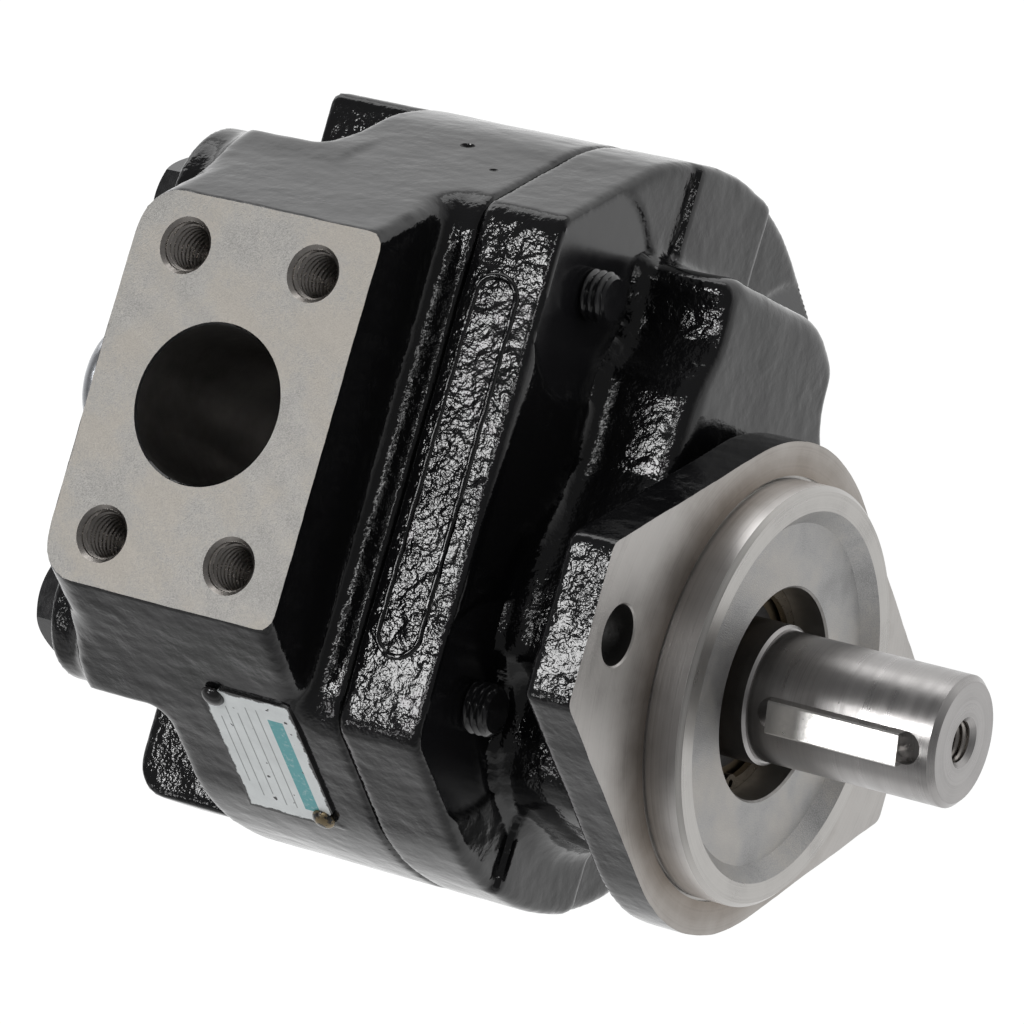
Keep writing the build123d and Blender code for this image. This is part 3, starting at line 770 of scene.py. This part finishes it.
def mat_milled(name, base, rough=0.40, centre=(-0.24, -0.17), pitch=2600.0):
    """Face milled with a large cutter: faint concentric arcs, small pits."""
    k = Mat(name)
    k.set(color=base, rough=rough, metal=1.0)
    s = k.sep(k.tc.outputs["Object"])
    dx = k.math("ADD", s[0], -centre[0])
    dy = k.math("ADD", s[1], -centre[1])
    r = k.math("SQRT", k.math("ADD", k.math("MULTIPLY", dx, dx), k.math("MULTIPLY", dy, dy)))
    cb = k.n("ShaderNodeCombineXYZ")
    k.link(k.math("MULTIPLY", r, 1.0), cb.inputs[0])
    arcs = k.noise(cb.outputs[0], pitch, 3.0, 0.6)
    broad = k.noise(cb.outputs[0], 230.0, 2.0, 0.5)
    v = k.coords()
    fine = k.noise(v, 3400, 2.0, 0.6)
    blot = k.noise(v, 55, 4.0, 0.6)
    g_ = (base[0] * 0.86, base[1] * 0.89, base[2] * 0.93)
    col = k.ramp(k.math("ADD", k.math("MULTIPLY", blot, 0.62), k.math("MULTIPLY", fine, 0.38)),
                 [(0.36, tuple(c * 0.72 for c in g_)), (0.47, g_), (0.55, base),
                  (0.66, tuple(min(1, c * 1.16) for c in base))])
    k.link(col, k.b.inputs["Base Color"])
    rr = k.ramp(k.math("ADD", k.math("MULTIPLY", broad, 0.18), k.math("MULTIPLY", blot, 0.82)),
                [(0.3, rough - 0.07), (0.7, rough + 0.10)])
    k.link(rr, k.b.inputs["Roughness"])
    n1 = k.bump(arcs, 0.35, 0.00007)
    n2 = k.bump(fine, 0.8, 0.00011, n1)
    k.normal(n2)
    return k.m


def mat_turned(name, base, rough=0.30, pitch=1500.0, groove=0.00006, strength=0.6, y=0.0,
               blot_amt=1.0, stain=None):
    """Turned about the shaft axis: rings on flat faces and round walls."""
    k = Mat(name)
    k.set(color=base, rough=rough, metal=1.0)
    s = k.sep(k.tc.outputs["Object"])
    yy = k.math("ADD", s[1], -y)
    r = k.math("SQRT", k.math("ADD", k.math("MULTIPLY", yy, yy), k.math("MULTIPLY", s[2], s[2])))
    cb = k.n("ShaderNodeCombineXYZ")
    k.link(r, cb.inputs[0])
    k.link(s[0], cb.inputs[1])
    rings = k.noise(cb.outputs[0], pitch, 3.0, 0.65)
    broad = k.noise(cb.outputs[0], pitch * 0.12, 2.0, 0.5)
    v = k.coords()
    blot = k.noise(v, 70, 4.0, 0.6)
    fine = k.noise(v, 2600, 2.0, 0.6)
    mix = k.math("ADD", k.math("MULTIPLY", rings, 0.45), k.math("MULTIPLY", blot, 0.55 * blot_amt))
    col = k.ramp(mix, [(0.30, tuple(c * 0.78 for c in base)), (0.5, base),
                       (0.68, tuple(min(1, c * 1.10) for c in base))])
    if stain:
        # oil stain close to the pilot's foot, fading outwards
        mx = k.n("ShaderNodeMix", data_type="RGBA", blend_type="MULTIPLY")
        edge = k.math("ADD", r, k.math("MULTIPLY", k.math("ADD", blot, -0.5), 0.010))
        k.link(k.ramp(k.math("MULTIPLY", edge, 10.0), [(0.512, 1.0), (0.60, 0.35), (0.70, 0.0)]), mx.inputs[0])
        k.link(col, mx.inputs[6])
        mx.inputs[7].default_value = (*stain, 1)
        col = mx.outputs[2]
    k.link(col, k.b.inputs["Base Color"])
    rr = k.ramp(k.math("ADD", k.math("MULTIPLY", broad, 0.6), k.math("MULTIPLY", blot, 0.4)),
                [(0.3, max(0.04, rough - 0.08)), (0.7, rough + 0.10)])
    k.link(rr, k.b.inputs["Roughness"])
    n1 = k.bump(rings, strength, groove)
    n2 = k.bump(fine, 0.25, 0.00004, n1)
    k.normal(n2)
    return k.m


def mat_simple(name, base, rough, metal=0.0, bump=0.2, scale=600, var=0.25, spec=0.5):
    k = Mat(name)
    k.set(color=base, rough=rough, metal=metal, spec=spec)
    v = k.coords()
    a = k.noise(v, scale, 3.0, 0.6)
    b = k.noise(v, scale * 0.1, 3.0, 0.6)
    col = k.ramp(b, [(0.3, tuple(c * (1 - var) for c in base)), (0.7, tuple(min(1, c * (1 + var)) for c in base))])
    k.link(col, k.b.inputs["Base Color"])
    rr = k.ramp(a, [(0.3, max(0.03, rough * 0.8)), (0.7, min(1, rough * 1.25))])
    k.link(rr, k.b.inputs["Roughness"])
    k.normal(k.bump(a, bump, 0.0001))
    return k.m


PAINT = mat_paint()
PAINT_R = mat_paint("black_paint_rim", 0.35, 1.2, 0.10)
PAINT_S = mat_paint_smooth()
PAD = mat_milled("milled_iron", (0.43, 0.405, 0.37), 0.57)
FLANGE = mat_turned("turned_iron", (0.40, 0.385, 0.37), 0.36, 1700.0, 0.00006, 0.6, stain=(0.50, 0.44, 0.38))
PILOT = mat_turned("turned_pilot", (0.40, 0.388, 0.372), 0.32, 1300.0, 0.00009, 0.8)
RECESS = mat_milled("recess_iron", (0.375, 0.36, 0.342), 0.42, (9.0, 9.0), 3000.0)
# The pilot's round wall is the same turned iron as the pilot, painted much lighter (0.68 against 0.40): a painted
# highlight.
PILOT_WALL_PAINTED_LIGHT = mat_turned("turned_pilot_wall_painted_bright", (0.68, 0.66, 0.645), 0.34, 1300.0, 0.00007, 0.7)
# Iron inside the bores is painted darker than the machined faces (0.26 against about 0.40): painted shade in the
# recesses.
BORE_SHADED = mat_simple("bore_painted_shade", (0.26, 0.25, 0.24), 0.38, 0.9, 0.4, 500)
SHAFT = mat_turned("ground_shaft", (0.33, 0.32, 0.315), 0.30, 2600.0, 0.00003, 0.5)
DRIVEN = mat_turned("ground_driven", (0.56, 0.54, 0.53), 0.22, 2600.0, 0.00003, 0.5, 0.054)
KEYM = mat_simple("key_steel", (0.70, 0.69, 0.67), 0.22, 1.0, 0.05, 900, 0.06)
BRONZE = mat_simple("bronze", (0.52, 0.36, 0.16), 0.3, 1.0, 0.2, 700)
RUBBER = mat_simple("black_rubber", (0.018, 0.016, 0.015), 0.5, 0.0, 0.3, 900)
SEALM = mat_simple("seal_case", (0.16, 0.13, 0.09), 0.35, 1.0, 0.2, 900)
STEEL = mat_simple("plain_steel", (0.5, 0.49, 0.47), 0.3, 1.0, 0.2, 800)
PLATED = mat_simple("plated_plug", (0.42, 0.43, 0.45), 0.28, 1.0, 0.2, 600)
RING = mat_simple("ring_steel", (0.20, 0.17, 0.13), 0.3, 1.0, 0.2, 800)
THREAD = mat_simple("thread_iron", (0.33, 0.31, 0.29), 0.28, 1.0, 0.2, 900)
SCREW = mat_simple("screw_paint", (0.010, 0.010, 0.011), 0.16, 0.0, 0.35, 350)
HOLE = mat_simple("hole_wall", (0.015, 0.014, 0.013), 0.55, 0.0, 0.5, 900, 0.3, 0.25)


def mat_plate():
    """Satin plate with a generic blank form: one colour bar, ruled lines."""
    k = Mat("plate_aluminium")
    base = (0.74, 0.77, 0.77)
    k.set(color=base, rough=0.40, metal=0.25)
    s_ = k.sep(k.tc.outputs["Object"])
    cy = (MIDY - (78.5 - SL * (55.4 - 46.7))) * MM
    nv = Vector((0, -1.0, SL)).normalized()
    u = k.math("ADD", s_[0], 0.0896)
    v = k.math("ADD", k.math("MULTIPLY", k.math("ADD", s_[1], -cy), nv.z),
               k.math("MULTIPLY", k.math("ADD", s_[2], -0.0554), -nv.y))

    def band(x, c_, hw, soft=0.00006):
        d = k.math("ABSOLUTE", k.math("ADD", x, -c_))
        return k.math("MULTIPLY", k.math("ADD", k.math("MULTIPLY", d, -1.0), hw + soft), 1.0 / soft, clamp=True)
    wear = k.ramp(k.noise(k.coords(), 900, 4.0, 0.7), [(0.30, 0.55), (0.46, 1.0)])
    bar = k.math("MULTIPLY", k.math("MULTIPLY", band(u, 0.0068, 0.0021), band(v, -0.001, 0.0165)), wear)
    lines = None
    for c_, hv in ((0.0022, 0.0180), (-0.0008, 0.0180), (-0.0038, 0.0150), (-0.0068, 0.0165), (-0.0094, 0.0120)):
        ln = k.math("MULTIPLY", band(u, c_, 0.00014), band(v, 0.0, hv))
        lines = ln if lines is None else k.math("MAXIMUM", lines, ln)
    lines = k.math("MULTIPLY", lines, k.math("MULTIPLY", wear, 0.75))
    m1 = k.n("ShaderNodeMix", data_type="RGBA")
    k.link(bar, m1.inputs[0])
    blot = k.ramp(k.noise(k.coords(), 160, 4.0, 0.65), [(0.3, tuple(c * 0.86 for c in base)), (0.7, base)])
    k.link(blot, m1.inputs[6])
    m1.inputs[7].default_value = (0.10, 0.36, 0.38, 1)
    m2 = k.n("ShaderNodeMix", data_type="RGBA")
    k.link(lines, m2.inputs[0])
    k.link(m1.outputs[2], m2.inputs[6])
    m2.inputs[7].default_value = (0.16, 0.17, 0.17, 1)
    au, av = k.math("ABSOLUTE", u), k.math("ABSOLUTE", v)
    creep = k.math("MULTIPLY", k.math("ADD", k.noise(k.coords(), 260, 4.0, 0.65), -0.5), 0.0030)
    eu = k.ramp(k.math("MULTIPLY", k.math("ADD", au, creep), 50.0), [(0.594, 0.0), (0.612, 1.0)])
    ev = k.ramp(k.math("MULTIPLY", k.math("ADD", av, creep), 25.0), [(0.533, 0.0), (0.542, 1.0)])
    speck = k.ramp(k.noise(k.coords(), 420, 2.0, 0.5), [(0.715, 0.0), (0.735, 1.0)])
    over = k.math("MAXIMUM", k.math("MAXIMUM", eu, ev), speck)
    m3 = k.n("ShaderNodeMix", data_type="RGBA")
    k.link(over, m3.inputs[0])
    k.link(m2.outputs[2], m3.inputs[6])
    m3.inputs[7].default_value = (0.008, 0.008, 0.008, 1)
    k.link(m3.outputs[2], k.b.inputs["Base Color"])
    k.link(k.ramp(over, [(0.0, 0.25), (1.0, 0.0)]), k.b.inputs["Metallic"])
    k.link(k.ramp(over, [(0.0, 0.40), (1.0, 0.15)]), k.b.inputs["Roughness"])
    k.normal(k.bump(k.math("ADD", over, k.math("MULTIPLY", k.noise(k.coords(), 500, 3.0, 0.6), 0.3)), 0.4, 0.0002))
    return k.m


PLATE = mat_plate()


def mat_rivets():
    """Two drive rivets: paint covers the one, the other is half bare brass."""
    k = Mat("drive_rivets")
    k.set(color=(0.17, 0.135, 0.08), rough=0.3, metal=0.7)
    v = k.coords()
    f = k.ramp(k.math("MULTIPLY", k.sep(k.tc.outputs["Object"])[0], -10.0), [(0.88, 0.0), (0.91, 1.0)])
    worn = k.ramp(k.noise(v, 420, 3.0, 0.6), [(0.50, 0.0), (0.58, 1.0)])
    f = k.math("MAXIMUM", f, worn)
    mx = k.n("ShaderNodeMix", data_type="RGBA")
    k.link(f, mx.inputs[0])
    mx.inputs[6].default_value = (0.20, 0.155, 0.09, 1)
    mx.inputs[7].default_value = (0.010, 0.010, 0.010, 1)
    k.link(mx.outputs[2], k.b.inputs["Base Color"])
    k.link(k.ramp(f, [(0.0, 0.75), (1.0, 0.0)]), k.b.inputs["Metallic"])
    k.link(k.ramp(f, [(0.0, 0.34), (1.0, 0.16)]), k.b.inputs["Roughness"])
    k.normal(k.bump(k.math("ADD", f, k.noise(v, 700, 3.0, 0.6)), 0.35, 0.0001))
    return k.m


RIVET = mat_rivets()


def assign(o, mats, index=None, angle=38.0, flat=()):
    o.data.materials.clear()
    for m in mats:
        o.data.materials.append(m)
    if index is not None:
        o.data.polygons.foreach_set("material_index", index.astype(np.int32))
    sm = np.ones(len(o.data.polygons), bool)
    if index is not None:
        for i in flat:
            sm[index == i] = False
    o.data.polygons.foreach_set("use_smooth", sm)
    o.data.set_sharp_from_angle(angle=math.radians(angle))
    o.data.update()


# --------------------------------------------------------------- castings
body, NP = build_body()
c, n = face_data(body)
idx = np.zeros(len(c), int)
idx[(np.abs(np.abs(c[:, 2]) - 97.2) < 0.02) & (np.abs(n[:, 2]) > 0.99)] = 1
rp = np.hypot(c[:, 0] + 107, c[:, 1] - MIDY)
# Port and gear bores take the darker iron: painted shade.
idx[(rp < 19.2) & (np.abs(c[:, 2]) < 97.19)] = 2
idx[((np.hypot(c[:, 1], c[:, 2]) < 31.6) | (np.hypot(c[:, 1] - 54, c[:, 2]) < 31.6)) & (c[:, 0] > -170.6)] = 2
for s, dx, dy in ((1, 35.7, 69.9), (-1, 30.2, 58.7)):
    for a in (-0.5, 0.5):
        for b in (-0.5, 0.5):
            rr = np.hypot(c[:, 0] + 107 - a * dx, c[:, 1] - MIDY - b * dy)
            m = (rr < 7.0) & (s * c[:, 2] > 60) & (s * c[:, 2] < 97.19)
            idx[m] = 3
idx[(np.abs(c[:, 0] + 65) < 0.01) & (n[:, 0] > 0.99)] = 4
idx[(c[:, 0] > -152.05) & (c[:, 0] < -151.95) & (n[:, 0] < -0.99)] = 5
assign(body, [PAINT, PAD, BORE_SHADED, THREAD, STEEL, PAINT_S], idx, flat=(1, 4, 5))
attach(body, "casing")
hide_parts("pump_body")

cover = build_cover()
c, n = face_data(cover)
idx = np.zeros(len(c), int)
rad = np.hypot(c[:, 1], c[:, 2])
idx[(c[:, 0] > -0.85) & (rad < 51.6)] = 2
idx[(rad < 44.6) & (rad > 25.6) & (c[:, 0] > 5.0) & (n[:, 0] > 0.5)] = 8
# Pilot's round wall: the lighter copy of the turned iron, a painted highlight.
idx[(rad > 49.5) & (rad < 51.6) & (c[:, 0] > -0.85) & (n[:, 0] < 0.5)] = 7
# Seal bore here and the shaft bore below take the darker iron: painted shade.
idx[(rad < 27.3) & (c[:, 0] > -16.5) & (c[:, 0] < 5.6)] = 3
idx[(np.abs(c[:, 0]) < 0.02) & (n[:, 0] > 0.99)] = 1
idx[(rad < 22.2) & (c[:, 0] <= -16)] = 3
idx[(np.abs(c[:, 0] + 43) < 0.02) & (n[:, 0] > 0.98)] = 4
idx[(np.abs(c[:, 0] + 65) < 0.01) & (n[:, 0] < -0.99)] = 5
for s in (1, -1):
    rr = np.hypot(c[:, 1], c[:, 2] - s * 73)
    idx[(rr < 7.6) & (c[:, 0] > -12.5) & (c[:, 0] < -0.41)] = 6
    idx[(rr < 7.6) & (c[:, 0] >= -0.41) & (c[:, 0] < -0.01)] = 1
assign(cover, [PAINT, FLANGE, PILOT, BORE_SHADED, PAINT_S, STEEL, HOLE, PILOT_WALL_PAINTED_LIGHT, RECESS], idx, flat=(1, 5))
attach(cover, "casing")
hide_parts("front_cover")
rim = casting_rim()
assign(rim, [PAINT_R])
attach(rim, "casing")

for name, m in (("drive_gear_shaft", SHAFT), ("driven_gear_shaft", DRIVEN), ("shaft_key", KEYM),
                ("front_drive_bush", BRONZE), ("front_driven_bush", BRONZE), ("rear_drive_bush", BRONZE),
                ("rear_driven_bush", BRONZE), ("front_thrust_plate", BRONZE), ("rear_thrust_plate", BRONZE),
                ("front_balance_seal", RUBBER), ("rear_balance_seal", RUBBER), ("casing_seal", RUBBER),
                ("shaft_seal_case", SEALM), ("shaft_seal_lip", RUBBER), ("shaft_seal_spring", STEEL),
                ("seal_retaining_ring", RING), ("casing_screws", SCREW), ("dowel_pins", STEEL),
                ("rear_port_plug", PLATED), ("rear_plug_seal", RUBBER), ("nameplate", PLATE),
                ("nameplate_rivets", RIVET)):
    o = NODES[name]
    o.data.materials.clear()
    o.data.materials.append(m)


# --------------------------------------------------------- threads, screws
def thread_f(u):
    return np.clip(np.abs(u - 0.5) * 2.9 - 0.22, 0, 1)


def inner_thread(name, cx, cy, z0, z1, r, depth, pitch, axis="Z", seg=56):
    """Threaded lining of a tapped hole: helical bore inside a thin sleeve."""
    L = abs(z1 - z0)
    rows = int(L / pitch * 9) + 1
    a = np.arange(seg) * 2 * math.pi / seg
    verts, faces = [], []
    for i in range(rows):
        t = L * i / (rows - 1)
        u = (t / pitch - a / (2 * math.pi)) % 1.0
        fade = min(1.0, t / 1.2)
        rr = r - depth * thread_f(u) * fade
        zz = z1 + (z0 - z1) * i / (rows - 1)
        verts.append(np.stack([rr * np.cos(a), rr * np.sin(a), np.full(seg, zz)], 1))
    for zz in (z0, z1):
        verts.append(np.stack([(r + 0.25) * np.cos(a), (r + 0.25) * np.sin(a), np.full(seg, zz)], 1))
    V = np.concatenate(verts)
    k = rows + 2
    for i in range(k):
        j = (i + 1) % k
        for q in range(seg):
            w_ = (q + 1) % seg
            faces.append((i * seg + q, j * seg + q, j * seg + w_, i * seg + w_))
    if axis == "Z":
        V = V + np.array([cx, cy, 0.0])
    else:
        V = np.stack([V[:, 2], V[:, 0] + cx, V[:, 1] + cy], 1)
    o = new_obj(name, V * MM, faces)
    return fix_normals(o)


i_ = 0
for s, r_, dp, pt, td, dx, dy, nm in ((1, 6.0, 0.85, 1.75, 27.0, 35.7, 69.9, "inlet"),
                                      (-1, 5.5, 0.75, 1.5, 22.0, 30.2, 58.7, "outlet")):
    for a in (-0.5, 0.5):
        for b in (-0.5, 0.5):
            i_ += 1
            o = inner_thread("%s_thread_%d" % (nm, i_), -107 + a * dx, MIDY + b * dy,
                             s * (97.2 - td + 0.2), s * (97.2 - 0.97), r_ - 0.02, dp, pt)
            assign(o, [THREAD], angle=50)
            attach(o, "casing")
o = inner_thread("shaft_end_thread", 0, 0, 32.5, 54.5, 4.98, 0.55, 1.75, "X")
assign(o, [THREAD], angle=50)
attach(o, "drive")


def screw_shank(y, z, seg=56):
    a = np.arange(seg) * 2 * math.pi / seg
    ts = [-152.3, -62.0] + list(np.arange(-61.8, -36.75, 1.9 / 9)) + [-36.6]
    verts, faces = [], []
    for t in ts:
        u = (t / 1.9 - a / (2 * math.pi)) % 1.0
        d = 0.85 * thread_f(u) * (1.0 if t > -62 else 0.0)
        rr = 6.33 - d
        rr = np.minimum(rr, 5.0 + max(0.0, (-36.6 - t)) * 0.9)
        verts.append(np.stack([np.full(seg, t), y + rr * np.cos(a), z + rr * np.sin(a)], 1))
    V = np.concatenate(verts)
    k = len(ts)
    for i in range(k - 1):
        for q in range(seg):
            w_ = (q + 1) % seg
            faces.append((i * seg + q, i * seg + w_, (i + 1) * seg + w_, (i + 1) * seg + q))
    faces.append(tuple(range(seg - 1, -1, -1)))
    faces.append(tuple((k - 1) * seg + q for q in range(seg)))
    return fix_normals(new_obj("shank", V * MM, faces))


parts_ = []
for y, z in BOLTS:
    R_ = 22.2 / math.sqrt(3)
    hexp = prism_obj("hex", [(y + R_ * math.cos(math.pi / 3 * q), z + R_ * math.sin(math.pi / 3 * q))
                             for q in range(6)], -160.6, -152.6)
    cone_ = lathe_x("cone", [(-160.6, 10.6), (-160.3, 11.1), (-158.9, 13.1), (-153.2, 13.1), (-152.6, 12.5)],
                    y, z, 96)
    boolean(hexp, cone_, "INTERSECT")
    parts_.append(hexp)
    parts_.append(lathe_x("w", [(-152.9, 10.8), (-152.0, 10.8)], y, z, 64))
    parts_.append(screw_shank(y, z))
screws = join("casing_screw_set", parts_)
assign(screws, [SCREW], angle=32)
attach(screws, "casing")
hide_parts("casing_screws")

# ------------------------------------------------------------------- stage
FLOOR_Z = CAD_BOX[0][2] - 0.0005
me = D.meshes.new("floor")
S = 9.0
me.from_pydata([(-S, -S, FLOOR_Z), (S, -S, FLOOR_Z), (S, S, FLOOR_Z), (-S, S, FLOOR_Z)], [], [(0, 1, 2, 3)])
floor = D.objects.new("floor", me)
SC.collection.objects.link(floor)
# The floor glows instead of being lit, standing in for light; its glow is painted darker towards -y and beyond
# 0.55 m from the middle, painted shade on the floor.
fm = Mat("floor_glow_painted_shade")
fm.set(color=(0.10, 0.10, 0.10), rough=0.9, spec=0.0)
fm.b.inputs["Emission Color"].default_value = (1, 1, 1, 1)
fs = fm.sep(fm.tc.outputs["Object"])
fr = fm.math("SQRT", fm.math("ADD", fm.math("MULTIPLY", fs[0], fs[0]), fm.math("MULTIPLY", fs[1], fs[1])))
fy = fm.ramp(fm.math("ADD", fs[1], 0.5), [(0.08, 0.50), (0.27, 0.80), (0.75, 0.80), (0.93, 1.0)])
fr = fm.ramp(fr, [(0.55, 1.0), (1.1, 0.62)])
fm.link(fm.math("MULTIPLY", fm.math("MULTIPLY", fy, fr), 1.25), fm.b.inputs["Emission Color"])
fm.b.inputs["Emission Strength"].default_value = 1.0
me.materials.append(fm.m)

w = D.worlds.new("studio")
SC.world = w
w.use_nodes = True
nt = w.node_tree
nt.nodes.clear()
wo = nt.nodes.new("ShaderNodeOutputWorld")
bg = nt.nodes.new("ShaderNodeBackground")
tc = nt.nodes.new("ShaderNodeTexCoord")
sx = nt.nodes.new("ShaderNodeSeparateXYZ")
rp_ = nt.nodes.new("ShaderNodeValToRGB")
nt.links.new(tc.outputs["Generated"], sx.inputs[0])
nt.links.new(sx.outputs[2], rp_.inputs[0])
el = rp_.color_ramp.elements
el[0].position, el[0].color = 0.0, (0.75, 0.75, 0.75, 1)
el[1].position, el[1].color = 0.45, (0.20, 0.20, 0.203, 1)
nt.links.new(rp_.outputs[0], bg.inputs[0])
bg.inputs[1].default_value = 1.0
nt.links.new(bg.outputs[0], wo.inputs[0])


def area(name, direction, dist, size, power, target=(-0.05, 0.02, 0.02), size_y=None, color=(1, 1, 1)):
    """Soft box seen from the target in the given direction."""
    L = D.lights.new(name, "AREA")
    L.shape = "RECTANGLE"
    L.size, L.size_y = size, size_y or size
    L.energy = power
    L.color = color
    o = D.objects.new(name, L)
    d = Vector(direction).normalized()
    o.location = Vector(target) + d * dist
    o.rotation_euler = (-d).to_track_quat("-Z", "Y").to_euler()
    SC.collection.objects.link(o)
    return o


# softbox high on the left, mirrored by the faces square to the ports
def panel(name, centre, look, sx_, sy_, radiance, color=(1, 1, 1), roll=0.0):
    """Rectangular soft box, its brightness given as radiance."""
    L = D.lights.new(name, "AREA")
    L.shape = "RECTANGLE"
    L.size, L.size_y = sx_, sy_
    L.energy = radiance * sx_ * sy_ * math.pi
    L.color = color
    o = D.objects.new(name, L)
    d = (Vector(look) - Vector(centre)).normalized()
    o.location = Vector(centre)
    o.rotation_euler = (d.to_track_quat("-Z", "Y").to_matrix() @ Matrix.Rotation(roll, 3, "Z")).to_euler()
    SC.collection.objects.link(o)
    return o


panel("key_left", (-0.615, 0.02, 1.38), (-0.03, 0.02, 0.05), 0.30, 0.36, 19.0)
# long box behind and above, mirrored by the crown and upper facet
panel("edge_top", (0.03, 0.10, 1.42), (-0.05, 0.03, 0.05), 0.07, 0.70, 13.0)
panel("key_low", (-0.75, -0.80, 1.15), (0.03, 0.0, 0.02), 0.36, 0.30, 5.5)
panel("back_top", (-1.0, 1.7, -0.02), (-0.08, 0.08, 0.0), 2.6, 1.4, 1.6)

# ------------------------------------------------------------------ camera
cd = D.cameras.new("cam")
cam = D.objects.new("cam", cd)
SC.collection.objects.link(cam)
right = Vector((0.8481, 0.2734, -0.4539))
up = Vector((-0.2061, 0.9594, 0.1927))
fwd = Vector((-0.4882, 0.0699, -0.8700))
R3 = Matrix((right, up, -fwd)).transposed()
cam.matrix_world = Matrix.Translation(Vector((0.59967, -0.06948, 1.20439))) @ R3.to_4x4()
cd.sensor_width = 36.0
cd.lens = 5701.5 / 1024 * 36.0
cd.clip_end = 50
SC.camera = cam
SC.view_settings.view_transform = "Standard"
SC.view_settings.look = "None"
